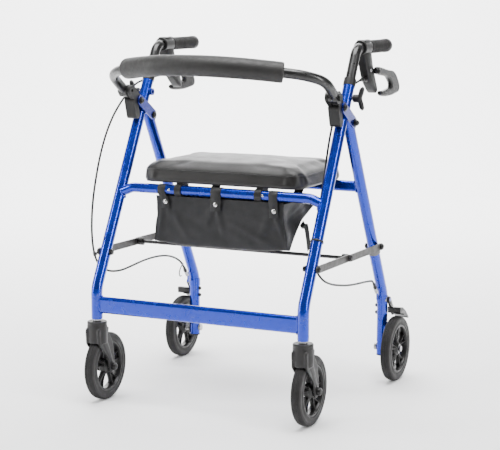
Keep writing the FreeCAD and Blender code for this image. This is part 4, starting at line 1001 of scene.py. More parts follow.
LEVER_PIN = (0.113, 0.733)
LEVER_OUTLINE = (
    (0.1055, 0.7390), (0.1155, 0.7430), (0.1370, 0.7405), (0.1620, 0.7362), (0.1870, 0.7325),
    (0.2080, 0.7300),
    (0.2225, 0.7245), (0.2345, 0.7150), (0.2450, 0.7040), (0.2508, 0.6930), (0.2490, 0.6835),
    (0.2400, 0.6788),
    (0.2200, 0.6762), (0.2000, 0.6740), (0.1750, 0.6735), (0.1500, 0.6745), (0.1350, 0.6780),
    (0.1312, 0.6838),
    (0.1365, 0.6880), (0.1500, 0.6875), (0.1750, 0.6898), (0.1940, 0.6930), (0.1982, 0.6990),
    (0.1885, 0.7085),
    (0.1735, 0.7175), (0.1560, 0.7205), (0.1380, 0.7225), (0.1200, 0.7255), (0.1070, 0.7290),
)


def add_brake_lever(name, side):
    """Loop lever with a rounded grip face and a raised rim round its web."""
    low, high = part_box(f"brake_lever_{name}")
    outline = rounded(LEVER_OUTLINE, 4, 0.5)
    shell = bevelled(plate("shell", outline, low.x, high.x), 0.0034, 4)
    inset = [tuple(p) for p in shrink(outline, 0.0048)]
    ribs = bevelled(plate("web_mark", inset, low.x - 0.0004, high.x + 0.0004), 0.0003, 1)
    boss_face = high.x if side > 0 else low.x
    boss = lathe(
        "boss",
        [
            (0.0, 0), (0.0, 0.0078), (side * 0.0006, 0.0076), (side * 0.0010, 0.0066),
            (side * 0.0010, 0.0040),
        ],
        (boss_face, *LEVER_PIN), X_AXIS, 40,
    )
    lever = joined(f"brake_lever_{name}_moulded", [shell, ribs, boss])
    dress(smooth(lever), "lever", "black_plastic", f"brake_lever_{name}", f"brake_lever_{name}")


def add_adjust_knob(name, side):
    """Wing knob: a round hub on the clamp screw and two thick wings that spread away from the leg."""
    foot = front_leg_middle(0.681, side)
    out = X_AXIS * side
    hub = lathe("hub", [
        (0.0160, 0), (0.0160, 0.0074), (0.0172, 0.0086), (0.0300, 0.0090), (0.0345, 0.0074),
        (0.0356, 0.0034), (0.0356, 0),
    ], foot, out, 40)
    wings = []
    for sign in (-1, 1):
        rings = []
        for step in range(9):
            share = step / 8
            place = foot + out * (0.0315 + 0.0060 * share) + Z_AXIS * sign * (0.002 + 0.0238 * share)
            wide = 0.0072 - 0.0012 * share
            tall = 0.0048 + 0.0010 * math.sin(math.pi * share) - 0.0030 * max(0.0, share - 0.8) / 0.2
            if step == 8:
                wide, tall = wide * 0.55, tall * 0.5
            rings.append(
                [place + Y_AXIS * wide * math.cos(t) + out * tall * math.sin(t) for t in turns_of(16)[:-1]]
            )
        wings.append(loft("wing", rings))
    knob = moulded(f"adjust_knob_{name}_moulded", [hub] + wings, 0.0008, 5)
    dress(knob, "knob", "black_plastic", f"adjust_knob_{name}", f"adjust_knob_{name}")
    screw = threaded_rod(f"adjust_screw_{name}", foot, out, 0.0130, 0.0170, 0.0039)
    dress(screw, "zinc", "zinc_steel", f"adjust_knob_{name}")


def threaded_rod(name, foot, axis, start, end, radius, pitch=0.00125):
    profile = [(start, 0), (start, radius - 0.0004)]
    along = start + pitch / 2
    while along < end - pitch:
        profile += [(along, radius), (along + pitch / 2, radius - 0.0006)]
        along += pitch
    profile += [(end, radius - 0.0004), (end, 0)]
    return lathe(name, profile, foot, axis, 24)


def add_brake_arm(name, side):
    """Pressed arm beside the rear wheel, with a sloping guard plate over the tyre and the shoe under it."""
    pivot, shoe = (0.2181, 0.1920), (0.2441, 0.1574)
    inner, outer = side * 0.2645, side * 0.2695
    bar = bevelled(plate("bar", capsule_outline(pivot, shoe, 0.0075), *sorted((inner, outer))), 0.0012, 2)
    guard = (
        (0.2150, 0.1750), (0.2260, 0.1745), (0.2360, 0.1715), (0.2550, 0.1600), (0.2730, 0.1435),
        (0.2738, 0.1405),
        (0.2705, 0.1400), (0.2620, 0.1460), (0.2440, 0.1550), (0.2250, 0.1595), (0.2160, 0.1605),
        (0.2145, 0.1680),
    )
    start, end = sorted((side * 0.2650, side * 0.2965))
    cover = bevelled(plate("guard", rounded(guard, 3, 0.35), start, end), 0.0014, 3)
    pad = lathe(
        "shoe",
        [(0.2655, 0), (0.2655, 0.0048), (0.2665, 0.0052), (0.2950, 0.0052), (0.2960, 0.0044), (0.2960, 0)],
        (0, *shoe), X_AXIS * side, 32,
    )
    arm = joined(f"brake_arm_{name}_pressed", [bar, cover, pad])
    dress(smooth(arm), "lever", "black_steel", f"brake_arm_{name}", f"brake_arm_{name}")
    coil = []
    for k in range(61):
        turn = k / 60 * 8 * math.pi
        coil.append(
            Vector(
                (
                    side * (0.2585 + 0.0060 * k / 60), pivot[0] + 0.0086 * math.cos(turn),
                    pivot[1] + 0.0086 * math.sin(turn),
                )
            )
        )
    spring = tube(f"brake_spring_{name}", coil, 0.0007, 8)
    dress(spring, "zinc", "zinc_steel", "rear_frame")
    heads = [
        dome_cap((side * (LEG_X - LEG_RADIUS + 0.0004), REAR_AXLE.y, z), X_AXIS * -side, 0.0044, 0.0060)
        for z in (0.176, 0.159)
    ]
    heads = joined(f"brake_bracket_bolts_{name}", heads)
    dress(smooth(heads), "black_steel", "black_steel", "rear_frame")


def add_wire_tail():
    """The left brake wire's spare end, curled in front of the rear leg."""
    line = nurbs_line("wire_tail_line", (
        (-0.2500, 0.1500, 0.2500), (-0.2430, 0.1440, 0.2505), (-0.2360, 0.1300, 0.2515),
        (-0.2340, 0.1150, 0.2470),
        (-0.2340, 0.1070, 0.2360), (-0.2345, 0.1085, 0.2270), (-0.2350, 0.1150, 0.2235),
        (-0.2360, 0.1215, 0.2245),
    ))
    tail = tube("wire_tail", line, 0.0014, 10)
    dress(tail, "cable", "cable_black", "rear_frame")


# ---------------------------------------------------------------- bolts and small trim

def hex_nut(place, way, radius, thick):
    nut = lathe(
        "nut",
        [
            (0, 0), (0, radius * 0.93), (thick * 0.12, radius), (thick * 0.88, radius),
            (thick, radius * 0.9), (thick, radius * 0.45), (thick * 0.8, radius * 0.45), (thick * 0.8, 0),
        ],
        place, way, 6,
    )
    return bevelled(nut, 0.0004, 2, 25)


def dome_cap(place, way, radius, thick):
    return lathe("dome", [
        (0, 0), (0, radius * 0.96), (thick * 0.12, radius), (thick * 0.3, radius),
        (thick * 0.55, radius * 0.93),
        (thick * 0.8, radius * 0.68), (thick * 0.96, radius * 0.32), (thick, 0),
    ], place, way, 40)


def washer(place, way, radius, bore, thick):
    return lathe(
        "washer",
        [
            (0, bore), (0, radius - 0.0003), (thick * 0.3, radius), (thick * 0.8, radius),
            (thick, radius - 0.0003), (thick, bore),
        ],
        place, way, 40, looped=True,
    )


def add_frame_bolts():
    """Bolts of the folding pivots, brackets and braces, with washers, domed caps and nuts."""
    shanks, steel = [], []
    for _, side in SIDES:
        way = X_AXIS * side
        for (y, z), radius, thick, nut in (
            ((-0.069, 0.664), 0.0062, 0.0042, 0.0040), ((-0.01007, 0.627), 0.0066, 0.0088, 0.0030)
        ):
            outer, inner = side * (LEG_X + 0.0160), side * (LEG_X - 0.0160)
            steel.append(washer((outer, y, z), way, radius + 0.0022, radius * 0.5, 0.0011))
            steel.append(dome_cap((outer + side * 0.0010, y, z), way, radius, thick))
            steel.append(washer((inner, y, z), -way, radius + 0.0018, radius * 0.5, 0.0011))
            steel.append(hex_nut((inner - side * 0.0010, y, z), -way, radius * 0.95, nut))
            shanks.append(
                lathe(
                    "shank", [(-0.030, 0), (-0.030, radius * 0.42), (0.002, radius * 0.42), (0.002, 0)],
                    (outer, y, z), way, 24,
                )
            )
        steel += middle_line_bolt(side, "front")
    bolts = joined("frame_bolts_capped", shanks + steel)
    dress(smooth(bolts), "lever", "black_steel", "front_frame", "frame_bolts")
    rear = joined("brace_rear_bolts_capped", [p for _, side in SIDES for p in middle_line_bolt(side, "rear")])
    dress(smooth(rear), "lever", "black_steel", "rear_frame", "brace_rear_bolts")


BRACE_FRONT = Vector((0, -0.2093, 0.335))
BRACE_MIDDLE = Vector((0, -0.03705, 0.3321))
BRACE_REAR = Vector((0, 0.15105, 0.329))


def middle_line_bolt(side, end):
    """A folding brace's bolt through a leg: domed cap outside the bar, spacer, and a nut inside the leg."""
    at = BRACE_FRONT if end == "front" else BRACE_REAR
    face = 0.2665 if end == "front" else 0.2703
    way = X_AXIS * side
    place = Vector((side * face, at.y, at.z))
    inside = Vector((side * (LEG_X - LEG_RADIUS), at.y, at.z))
    radius = 0.0064 if end == "front" else 0.0068
    thick = 0.0040 if end == "front" else 0.0056
    return [
        washer(place + way * 0.0001, way, radius + 0.0016, 0.003, 0.0010),
        dome_cap(place + way * 0.0010, way, radius, thick),
        lathe("shank", [(-0.034, 0), (-0.034, 0.0030), (0.0008, 0.0030), (0.0008, 0)], place, way, 24),
        washer(inside, -way, radius + 0.0010, 0.003, 0.0010),
        hex_nut(inside - way * 0.0009, -way, radius, 0.0048),
    ]


def add_brace_hinges():
    """Moulded clips that cover the braces' middle hinges and hold the ends of the cross rod."""
    for name, side in SIDES:
        lozenge = [
            (BRACE_MIDDLE.y + y, BRACE_MIDDLE.z + z)
            for y, z in ((-0.0095, 0), (0, 0.0062), (0.0095, 0), (0, -0.0062))
        ]
        cap = bevelled(
            plate("lozenge", rounded(lozenge, 5, 0.35), *sorted((side * 0.2702, side * 0.2738))), 0.0012, 3
        )
        collar = lathe(
            "collar",
            [
                (side * 0.2500, 0.0042), (side * 0.2500, 0.0080), (side * 0.2510, 0.0088),
                (side * 0.2630, 0.0088), (side * 0.2632, 0.0042),
            ],
            (0, BRACE_MIDDLE.y, BRACE_MIDDLE.z), X_AXIS, 40, looped=True,
        )
        clip = joined(f"brace_hinge_clip_{name}", [cap, collar])
        dress(smooth(clip), "plastic", "black_plastic", "brace_front")


def add_weld(name, centre, outline, tilt, body):
    """A rippled weld bead where a cross tube meets a leg; outline gives the tube's section, tilt
    the leg's lean.
    """
    pieces = []
    for s in (-1, 1):
        leg_way = Vector((0, math.sin(tilt), math.cos(tilt)))
        square = Vector((0, leg_way.z, -leg_way.y))
        path = []
        for y, z in outline:
            place = Vector((0, centre[0] + y, centre[1] + z))
            off = (place - Vector((0, centre[0], centre[1]))).dot(square)
            place.x = s * (LEG_X - math.sqrt(max(LEG_RADIUS**2 - off**2, 1e-8)) - 0.0004)
            path.append(place)
        pieces.append(ring_tube("bead", path, 0.0019, 0.00035, 46))
    bead = joined(name, pieces)
    dress(smooth(bead, 60), "blue", "blue_weld", body)


def ring_tube(name, path, radius, ripple, waves, sides=10):
    """A closed round bead whose thickness ripples along its way."""
    count = len(path)
    rings = []
    for i, place in enumerate(path):
        direction = (path[(i + 1) % count] - path[i - 1]).normalized()
        first = direction.cross(X_AXIS).normalized()
        second = direction.cross(first)
        r = radius + ripple * math.sin(2 * math.pi * waves * i / count)
        rings.append([place + (first * math.cos(t) + second * math.sin(t)) * r for t in turns_of(sides)[:-1]])
    rings.append(rings[0])
    return loft(name, rings, closed_ends=False)


def oval(half_wide, half_tall, count=144):
    """A tube section with straight flanks and round ends, taller than it is wide."""
    straight = half_tall - half_wide
    out = []
    for k in range(count):
        t = 2 * math.pi * k / count
        y, z = half_wide * math.cos(t), half_wide * math.sin(t)
        out.append((y, z + math.copysign(straight, z) if abs(z) > 1e-9 else z))
    return out


# ---------------------------------------------------------------- soft parts

def swollen(piece, pressure, held, limit, frames=20):
    """Lets a closed skin swell with the stuffing inside it; held gives how firmly a point is kept
    in place.
    """
    rest = [v.co.copy() for v in piece.data.vertices]
    group = piece.vertex_groups.new(name="held")
    for vertex in piece.data.vertices:
        group.add([vertex.index], held(vertex.co), "REPLACE")
    cloth = piece.modifiers.new("cloth", "CLOTH")
    cloth.settings.use_pressure = True
    cloth.settings.uniform_pressure_force = pressure
    cloth.settings.effector_weights.gravity = 0
    cloth.settings.vertex_group_mass = group.name
    cloth.settings.mass = 0.2
    cloth.settings.tension_stiffness = 18
    cloth.settings.compression_stiffness = 12
    cloth.settings.bending_stiffness = 0.6
    cloth.point_cache.frame_start = 1
    cloth.point_cache.frame_end = frames
    for frame_number in range(1, frames + 1):
        bpy.context.scene.frame_set(frame_number)
    settle(piece)
    bpy.context.scene.frame_set(1)
    for vertex, start in zip(piece.data.vertices, rest):
        step = vertex.co - start
        if step.length > limit:
            vertex.co = start + step.normalized() * limit
    piece.vertex_groups.clear()
    return piece


def rounded_plan(low, high, corner, steps=10):
    """A rectangle with round corners, as X and Y pairs, with points along its sides too."""
    out = []
    corners = ((high.x, high.y, 0), (low.x, high.y, 90), (low.x, low.y, 180), (high.x, low.y, 270))
    for k, (x, y, start) in enumerate(corners):
        centre = (x - corner if x == high.x else x + corner, y - corner if y == high.y else y + corner)
        for step in range(steps + 1):
            a = math.radians(start + 90 * step / steps)
            out.append(Vector((centre[0] + corner * math.cos(a), centre[1] + corner * math.sin(a))))
        after = corners[(k + 1) % 4]
        ahead = (
            after[0] - corner if after[0] == high.x else after[0] + corner,
            after[1] - corner if after[1] == high.y else after[1] + corner,
        )
        a = math.radians(start + 90)
        target = Vector((ahead[0] + corner * math.cos(a), ahead[1] + corner * math.sin(a)))
        here = out[-1].copy()
        for step in range(1, 24):
            out.append(here.lerp(target, step / 24))
    return out


def add_seat():
    """Foam cushion in vinyl with a stitched ridge round its upper edge, tucked under the seat board."""
    plan = rounded_plan(SEAT_LOW, SEAT_HIGH, corner=0.040)
    centre = (SEAT_LOW + SEAT_HIGH) / 2
    base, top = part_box("seat_board")[0].z - 0.0004, SEAT_HIGH.z

    def ring(inset, height):
        moved = shrink(plan, inset)
        return [Vector((p.x, p.y, height)) for p in moved]

    sides = (
        (0.0100, base), (0.0050, base + 0.0010), (0.0026, base + 0.0050), (0.0012, base + 0.0140),
        (0.0014, top - 0.0180), (0.0036, top - 0.0105), (0.0080, top - 0.0045), (0.0140, top - 0.0010),
        (0.0210, top),
    )
    cushion = loft("seat_cushion_sewn", [ring(inset, height) for inset, height in sides])
    remesh = cushion.modifiers.new("remesh", "REMESH")
    remesh.mode = "VOXEL"
    remesh.voxel_size = 0.005
    settle(cushion)
    swollen(cushion, pressure=4.0, held=lambda p: 1.0 if p.z < base + 0.004 else 0.0, limit=0.006)
    for vertex in cushion.data.vertices:
        place = vertex.co
        across_share = (place.x - centre.x) / 0.2
        along_share = (place.y - centre.y) / 0.127
        lift = max(0.0, place.z - base) / (top - base)
        crown = 0.0050 * (1 - min(1.0, across_share**2)) * (1 - min(1.0, along_share**2))
        dip = 0.0016 * noise.noise(place * 9.0) + 0.0007 * noise.noise(place * 31.0)
        place.z += lift * (crown + dip)
    soften = cushion.modifiers.new("soften", "SMOOTH")
    soften.factor = 0.5
    soften.iterations = 4
    finer = cushion.modifiers.new("finer", "SUBSURF")
    finer.levels = finer.render_levels = 1
    smooth(settle(cushion), 180)
    dress(cushion, "vinyl", "vinyl", "seat", "seat_cushion")

    seam = []
    for point in shrink(plan, 0.0040):
        found = cushion.closest_point_on_mesh(Vector((point.x, point.y, top - 0.0095)))
        seam.append(found[1] + found[2] * 0.0001)
    piping = round_ring("seat_piping", seam, 0.0010)
    dress(piping, "vinyl", "vinyl", "seat")
    add_stitches(
        "seat_stitches", seam, cushion, offset=Vector((0, 0, -0.0042)),
        pitch=0.0052, length=0.0034, radius=0.0004, body="seat", look="thread",
    )


def round_ring(name, path, radius, sides=10):
    """A closed round cord."""
    count = len(path)
    rings = []
    for i, place in enumerate(path):
        direction = (path[(i + 1) % count] - path[i - 1]).normalized()
        first = direction.cross(Z_AXIS).normalized()
        second = direction.cross(first)
        rings.append(
            [place + (first * math.cos(t) + second * math.sin(t)) * radius for t in turns_of(sides)[:-1]]
        )
    rings.append(rings[0])
    return smooth(loft(name, rings, closed_ends=False))


def add_stitches(name, path, skin, offset, pitch, length, radius, body, look):
    """Short threads laid on the skin along the path."""
    stitches, travelled, due = [], 0.0, 0.0
    for here, after in zip(path, path[1:]):
        step = after - here
        while due < travelled + step.length:
            share = (due - travelled) / max(step.length, 1e-9)
            found = skin.closest_point_on_mesh(here + step * share + offset)
            place, up = found[1], found[2]
            way = (step - up * step.dot(up)).normalized()
            ends = [
                place - way * length / 2 - up * radius * 0.6, place - way * length / 4 + up * radius * 0.5,
                place + way * length / 4 + up * radius * 0.5, place + way * length / 2 - up * radius * 0.6,
            ]
            stitches.append(tube("stitch", ends, radius, 6))
            due += pitch
        travelled += step.length
    whole = joined(name, stitches)
    finish(whole, look)
    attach(whole, body)
    return whole


BACKREST_ROUTE = (
    (-0.186, -0.214, 0.744), (-0.130, -0.244, 0.751), (-0.066, -0.270, 0.757), (0.066, -0.270, 0.757),
    (0.130, -0.244, 0.751), (0.186, -0.214, 0.744),
)


def add_backrest_foam():
    """Foam sleeve slit along its underside, cut square at both ends, with the soft dents of use."""
    line = nurbs_line("backrest_line", BACKREST_ROUTE)
    total = length_of(line)
    travelled = [0.0]
    for a, b in zip(line, line[1:]):
        travelled.append(travelled[-1] + (b - a).length)

    def at(distance):
        distance = min(max(distance, 0.0), total)
        for i in range(len(line) - 1):
            if travelled[i + 1] >= distance:
                share = (distance - travelled[i]) / max(travelled[i + 1] - travelled[i], 1e-9)
                return line[i].lerp(line[i + 1], share), (line[i + 1] - line[i]).normalized()
        return line[-1], (line[-1] - line[-2]).normalized()

    def ring(distance, radius, uneven=0.0):
        place, _ = at(distance)
        direction = (at(distance + 0.012)[0] - at(distance - 0.012)[0]).normalized()
        first = direction.cross(Z_AXIS).normalized()
        second = direction.cross(first)
        points = []
        for k in range(64):
            turn = 2 * math.pi * k / 64
            out = first * math.cos(turn) + second * math.sin(turn)
            slit = math.exp(-(((turn - 4.35) / 0.035) ** 2))
            soft = (
                noise.noise((place + out * radius) * 14.0) * 0.0011
                + noise.noise((place + out * radius) * 45.0) * 0.0003
            )
            points.append(place + out * (radius + uneven * (soft - 0.0016 * slit)))
        return points

    bore = 0.0113
    rings = [
        ring(0.0045, bore), ring(0.0008, bore + 0.0006), ring(0.0, bore + 0.0022), ring(0.0, 0.0195, 0.4),
        ring(0.0006, 0.0212, 0.8), ring(0.0026, 0.0221, 1.0),
    ]
    steps = 110
    rings += [ring(0.005 + (total - 0.010) * k / steps, 0.0224, 1.0) for k in range(steps + 1)]
    rings += [ring(total - 0.0026, 0.0221, 1.0), ring(total - 0.0006, 0.0212, 0.8), ring(total, 0.0195, 0.4),
              ring(total, bore + 0.0022), ring(total - 0.0008, bore + 0.0006), ring(total - 0.0045, bore)]
    rings += [ring(total - 0.0045 - (total - 0.009) * k / 40, bore) for k in range(1, 41)]
    foam = smooth(loft("backrest_foam_sleeve", rings, closed_ends=False), 50)
    dress(foam, "foam", "foam", "backrest", "backrest_foam")


# ---------------------------------------------------------------- pouch

POUCH_MIDDLE = (
    (-0.1440, 0.4600), (-0.1445, 0.4400), (-0.1450, 0.4150), (-0.1452, 0.3850), (-0.1440, 0.3620),
    (-0.1390, 0.3525),
    (-0.1280, 0.3500), (-0.1050, 0.3555), (-0.0820, 0.3625), (-0.0600, 0.3770), (-0.0400, 0.3920),
    (-0.0150, 0.4100),
    (0.0120, 0.4270), (0.0380, 0.4430), (0.0390, 0.4550),
)
POUCH_SIDE = (
    (-0.1440, 0.4600), (-0.1440, 0.4400), (-0.1430, 0.4150), (-0.1420, 0.3860), (-0.1425, 0.3660),
    (-0.1400, 0.3580),
    (-0.1310, 0.3570), (-0.1080, 0.3720), (-0.0860, 0.3860), (-0.0650, 0.3990), (-0.0450, 0.4110),
    (-0.0200, 0.4200),
    (0.0080, 0.4300), (0.0360, 0.4410), (0.0380, 0.4550),
)
POUCH_THICK = 0.0012
SNAPS = ((-0.130, 0.448), (-0.006, 0.448), (0.135, 0.442))  # the front straps' snaps, X and Z


def line_through(points, count):
    """Evenly spaced points on a smooth open line through the given ones."""
    fine = []
    last = len(points) - 1
    for i in range(last):
        p0, p1 = Vector(points[max(i - 1, 0)]), Vector(points[i])
        p2, p3 = Vector(points[i + 1]), Vector(points[min(i + 2, last)])
        for k in range(12):
            t = k / 12
            m1, m2 = (p2 - p0) * 0.5, (p3 - p1) * 0.5
            fine.append(p1 * (2 * t**3 - 3 * t**2 + 1) + m1 * (t**3 - 2 * t**2 + t)
                        + p2 * (-2 * t**3 + 3 * t**2) + m2 * (t**3 - t**2))
    fine.append(Vector(points[-1]))
    lengths = [0.0]
    for a, b in zip(fine, fine[1:]):
        lengths.append(lengths[-1] + (b - a).length)
    out, j = [], 0
    for k in range(count + 1):
        due = lengths[-1] * k / count
        while j < len(fine) - 2 and lengths[j + 1] < due:
            j += 1
        share = (due - lengths[j]) / max(lengths[j + 1] - lengths[j], 1e-9)
        out.append(fine[j].lerp(fine[j + 1], min(1.0, share)))
    return out


CREASES = (  # start X, Z; end X, Z; half width; height
    (0.040, 0.407, 0.143, 0.360, 0.0075, 0.0022),
    (0.062, 0.428, 0.118, 0.412, 0.0070, 0.0013),
    (0.010, 0.390, 0.070, 0.372, 0.0090, 0.0014),
    (-0.120, 0.436, -0.075, 0.368, 0.0080, 0.0018),
    (-0.136, 0.440, -0.150, 0.372, 0.0065, 0.0020),
    (-0.088, 0.420, -0.030, 0.390, 0.0100, -0.0014),
    (-0.006, 0.440, 0.012, 0.384, 0.0075, 0.0014),
    (-0.010, 0.440, -0.032, 0.398, 0.0070, 0.0013),
    (0.131, 0.434, 0.098, 0.380, 0.0080, 0.0016),
    (0.140, 0.432, 0.156, 0.384, 0.0060, 0.0021),
    (0.085, 0.372, 0.150, 0.402, 0.0080, -0.0015),
)


def crease_height(x, z):
    total = 0.0
    point = Vector((x, z))
    for x0, z0, x1, z1, half, height in CREASES:
        start, end = Vector((x0, z0)), Vector((x1, z1))
        run = end - start
        share = (point - start).dot(run) / run.length_squared
        if -0.15 < share < 1.15:
            off = (point - start - run * share).length
            fade = max(0.0, math.sin(math.pi * (share + 0.15) / 1.3)) ** 0.7
            total += 1.6 * height * fade * math.exp(-((off / half) ** 2))
    for sx, sz in SNAPS:
        away = Vector((x - sx, z - sz))
        turn = math.atan2(away.x, -away.y)
        reach = away.length
        if reach > 1e-4:
            total += (
                0.0018 * math.sin(turn * 6.0) * math.exp(-((reach - 0.018) / 0.018) ** 2)
                * max(0.0, math.cos(turn / 1.6))
            )
    return total


def pouch_edge(z, side):
    """The pouch's end in X at a height: pulled in half way down, and out again at the bottom."""
    share = min(1.0, max(0.0, (0.455 - z) / 0.1))
    outer = 0.1545 + 0.009 * share if side < 0 else 0.1560 + 0.010 * share
    return side * (outer - 0.0045 * math.sin(math.pi * share))


def add_pouch():
    """Sewn bag slung from the front rail: front, bottom and rising back in one piece, with a panel
    at each end.
    """
    rows, columns = 96, 120
    middle, at_side = line_through(POUCH_MIDDLE, rows), line_through(POUCH_SIDE, rows)
    vertices, faces = [], []
    for i in range(rows + 1):
        for j in range(columns + 1):
            share = 2 * j / columns - 1
            weight = min(1.0, max(0.0, (abs(share) - 0.55) / 0.45))
            weight = weight * weight * (3 - 2 * weight)
            place = middle[i].lerp(at_side[i], weight)
            x = share * abs(pouch_edge(place.y, 1 if share > 0 else -1))
            down = i / rows
            front = max(0.0, 1 - abs(down - 0.2) / 0.28)
            flat = 1 - max(0.0, abs(share) - 0.94) / 0.06
            wave = (
                0.0016 * noise.noise(Vector((x * 13, down * 4, 1.7)))
                + 0.0007 * noise.noise(Vector((x * 38, down * 13, 4.2)))
            )
            fold = crease_height(x, place.y) * front if down < 0.5 else 0.0
            before, after = middle[max(i - 1, 0)], middle[min(i + 1, rows)]
            tangent = (after - before).normalized()
            normal = Vector((-abs(tangent.y), -tangent.x)) if down > 0.3 else Vector((-1, 0))
            normal = Vector((-1, 0)).lerp(normal, min(1.0, max(0.0, (down - 0.25) / 0.1))).normalized()
            sag = (
                0.0030 * math.cos(share * math.pi / 2) * (1 if down > 0.35 else 0)
                * math.sin(math.pi * min(1.0, (down - 0.35) / 0.65))
            )
            place = place + normal * ((wave + fold) * flat + max(0.0, sag))
            vertices.append(Vector((x, place.x, place.y)))
    width = columns + 1
    for i in range(rows):
        for j in range(columns):
            a = i * width + j
            faces.append((a, a + 1, a + width + 1, a + width))
    levels = 26
    hem = 0.4585
    for side, column in ((-1, 0), (1, columns)):
        edge = [vertices[i * width + column] for i in range(rows + 1)]
        start = len(vertices)
        for i, point in enumerate(edge):
            share = i / rows
            upper = Vector((side * 0.1555, point.y, hem - 0.004 * share))
            for k in range(1, levels + 1):
                t = k / levels
                inward = math.sin(math.pi * t) * min(1.0, (upper.z - point.z) / 0.04)
                crease = (
                    0.0042 * math.sin(point.y * 62 + t * 2.6)
                    + 0.0022 * noise.noise(Vector((point.y * 24, t * 5, side)))
                )
                spot = point.lerp(upper, t)
                spot.x -= side * inward * (0.0065 + crease)
                vertices.append(spot)
        for i in range(rows):
            for k in range(levels):
                here = edge_index(start, levels, i, k, i * width + column)
                there = edge_index(start, levels, i + 1, k, (i + 1) * width + column)
                above_here = start + i * levels + k
                above_there = start + (i + 1) * levels + k
                corners = list(dict.fromkeys((here, there, above_there, above_here)))
                if len(corners) > 2:
                    faces.append(tuple(corners))
    pouch = add_mesh("pouch_sewn", vertices, faces)
    work = bmesh.new()
    work.from_mesh(pouch.data)
    bmesh.ops.remove_doubles(work, verts=work.verts, dist=0.0002)
    bmesh.ops.recalc_face_normals(work, faces=work.faces)
    work.to_mesh(pouch.data)
    area = sum(face.calc_area() for face in work.faces)
    work.free()
    shell = pouch.modifiers.new("shell", "SOLIDIFY")
    shell.thickness = POUCH_THICK
    shell.offset = 0
    smooth(settle(pouch), 55)
    finish(pouch, "nylon")
    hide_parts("pouch")
    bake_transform(pouch)
    return pouch


def edge_index(start, levels, row, level, on_sheet):
    return on_sheet if level == 0 else start + row * levels + level - 1


def snap(place, outward_way, radius):
    """Pressed snap fastener: rolled rim and a low dome."""
    return lathe("snap", [
        (-0.0008, 0), (-0.0008, radius * 0.96), (0.0, radius), (0.0006, radius * 0.97),
        (0.0010, radius * 0.86),
        (0.0008, radius * 0.78), (0.0013, radius * 0.62), (0.0018, radius * 0.35), (0.0020, 0),
    ], place, outward_way, 36)


RAIL_Y, RAIL_Z, RAIL_RADIUS = -0.141, 0.474, 0.011
STRAP_THICK = 0.0009


def add_front_straps():
    """Three straps over the front rail, doubled down the pouch's front and held by snaps."""
    snaps = []
    straps = []
    gap = RAIL_RADIUS + STRAP_THICK * 0.55
    for index, (x, wide) in enumerate(((-0.139, 0.019), (-0.0035, 0.025), (0.134, 0.021))):
        snap_x, snap_z = SNAPS[index]
        front_face = RAIL_Y - gap
        outer = [
            Vector((snap_x, -0.1478, snap_z - 0.015)), Vector((snap_x, -0.1483, snap_z - 0.004)),
            Vector((snap_x * 0.7 + x * 0.3, -0.1484, snap_z + 0.006)),
            Vector((x, front_face, RAIL_Z - 0.006)),
        ]
        wrap = arc((RAIL_Y, RAIL_Z), gap, 190, 0, 26, x)
        inner = [Vector((x, RAIL_Y + gap, RAIL_Z - 0.004)), Vector((x, -0.1330, 0.4590)),
                 Vector((snap_x * 0.5 + x * 0.5, -0.1405, 0.4530)), Vector((snap_x, -0.1428, snap_z - 0.004)),
                 Vector((snap_x, -0.1430, snap_z - 0.013))]
        straps.append(strap(f"strap_{index}", outer + wrap + inner, X_AXIS, wide, STRAP_THICK))
        snaps.append(snap((snap_x, -0.1490, snap_z), -Y_AXIS, 0.0054))
    straps = joined("pouch_front_straps", straps)
    dress(straps, "webbing", "nylon", "front_frame")
    for x in (-0.120, 0.109):
        snaps.append(snap((x, RAIL_Y - RAIL_RADIUS + 0.0004, RAIL_Z + 0.0005), -Y_AXIS, 0.0032))
    snaps = joined("pouch_snaps", snaps)
    dress(snaps, "nickel", "zinc_steel", "front_frame")


def add_rear_straps():
    """Two straps from the pouch's rear edge to snaps on the rear crossbar's front face."""
    low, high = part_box("rear_crossbar")
    face, middle_z = low.y, (low.z + high.z) / 2
    straps, snaps = [], []
    for x in (-0.105, 0.105):
        path = line_3d((
            (x, 0.0150, 0.4335), (x, 0.0300, 0.4430), (x, 0.0430, 0.4520),
            (x, face - 0.0060, middle_z - 0.0110),
            (x, face - 0.0012, middle_z - 0.0020), (x, face - 0.0010, middle_z + 0.0075),
        ), 24)
        straps.append(strap("strap", path, X_AXIS, 0.022, STRAP_THICK))
        snaps.append(snap((x, face - 0.0016, middle_z + 0.0020), -Y_AXIS, 0.0050))
    straps = joined("pouch_rear_straps", straps)
    dress(straps, "webbing", "nylon", "rear_frame")
    snaps = joined("pouch_rear_snaps", snaps)
    dress(snaps, "nickel", "zinc_steel", "rear_frame")


def add_tether():
    """Strap from the pouch's right end to the right front leg."""
    path = line_3d((
        (0.1610, -0.058, 0.4060), (0.1700, -0.068, 0.4010), (0.1860, -0.096, 0.4060),
        (0.2010, -0.124, 0.4080),
        (0.2170, -0.153, 0.3930), (0.2320, -0.180, 0.3720),
    ), 30)
    tether = strap("pouch_tether", path, (0.35, 0.55, 0.75), 0.014, 0.0012)
    dress(tether, "webbing", "nylon", "front_frame")


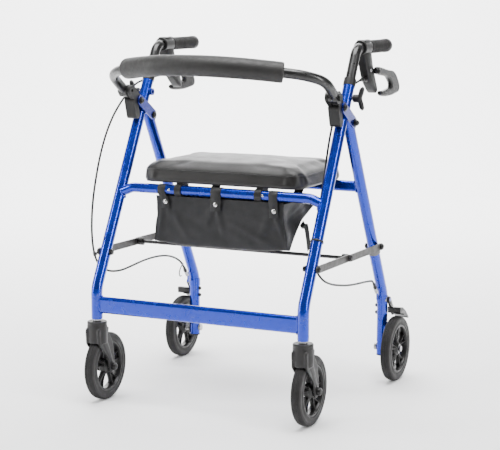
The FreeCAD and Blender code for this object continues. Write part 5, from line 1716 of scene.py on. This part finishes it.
def line_3d(points, count):
    last = len(points) - 1
    out = []
    for k in range(count + 1):
        at = last * k / count
        i = min(int(at), last - 1)
        t = at - i
        p0, p1, p2, p3 = (Vector(points[min(max(i + d, 0), last)]) for d in (-1, 0, 1, 2))
        m1, m2 = (p2 - p0) * 0.5, (p3 - p1) * 0.5
        out.append(p1 * (2 * t**3 - 3 * t**2 + 1) + m1 * (t**3 - 2 * t**2 + t)
                   + p2 * (-2 * t**3 + 3 * t**2) + m2 * (t**3 - t**2))
    return out


# ---------------------------------------------------------------- the whole walker

CAD_FINISHES = {
    "blue": (
        "front_leg_left", "front_leg_right", "front_crossbar", "seat_front_rail", "rear_leg_left",
        "rear_leg_right", "rear_crossbar", "brake_brackets", "knob_nuts", "caster_cups",
    ),
    # The pivot brackets take the lavender-tinted blue, which paints in their sheen.
    "bracket_blue_painted_sheen": ("pivot_brackets",),
    "plastic": (
        "leg_collars", "backrest_brackets", "rear_leg_plugs", "seat_clips", "release_button_left",
        "release_button_right",
    ),
    "zinc": ("rear_axles", "cable_adjusters", "caster_stem_left", "caster_stem_right"),
    "saddle": ("brace_saddles",),
    "tube": ("backrest_bar", "handle_tube_left", "handle_tube_right", "fold_rod"),
    "brace": ("brace_front_left", "brace_front_right", "brace_rear_left", "brace_rear_right"),
    "board": ("seat_board",),
}


def build():
    add_camera(azimuth=25.53, elevation=8.9, place=(1.4658, -3.0532, 0.9128), lens=108.05)
    add_studio()
    add_brake_cables()
    for name, members in CAD_FINISHES.items():
        for member in members:
            smooth(finish(nodes[member], name), 32)
    for name, side in SIDES:
        add_wheel("front", name, f"front_wheel_{name}", half_boss=0.0125)
        add_wheel("rear", name, f"rear_wheel_{name}", half_boss=0.0100)
        add_caster_fork(name, side)
        add_grip(name, side)
        add_brake_housing(name, side)
        add_brake_lever(name, side)
        add_adjust_knob(name, side)
        add_brake_arm(name, side)
    add_wire_tail()
    add_frame_bolts()
    add_brace_hinges()
    crossbar = middle_of("front_crossbar")
    add_weld("front_crossbar_welds", (crossbar.y, crossbar.z), oval(0.0075, 0.0190), 0.0, "front_frame")
    crossbar = middle_of("rear_crossbar")
    add_weld("rear_crossbar_welds", (crossbar.y, crossbar.z), oval(0.0075, 0.0125), -LEAN, "rear_frame")
    add_weld("rail_welds", (RAIL_Y, RAIL_Z - 0.013), oval(RAIL_RADIUS, RAIL_RADIUS), LEAN, "front_frame")
    add_seat()
    add_backrest_foam()
    add_pouch()
    add_front_straps()
    add_rear_straps()
    add_tether()


build()
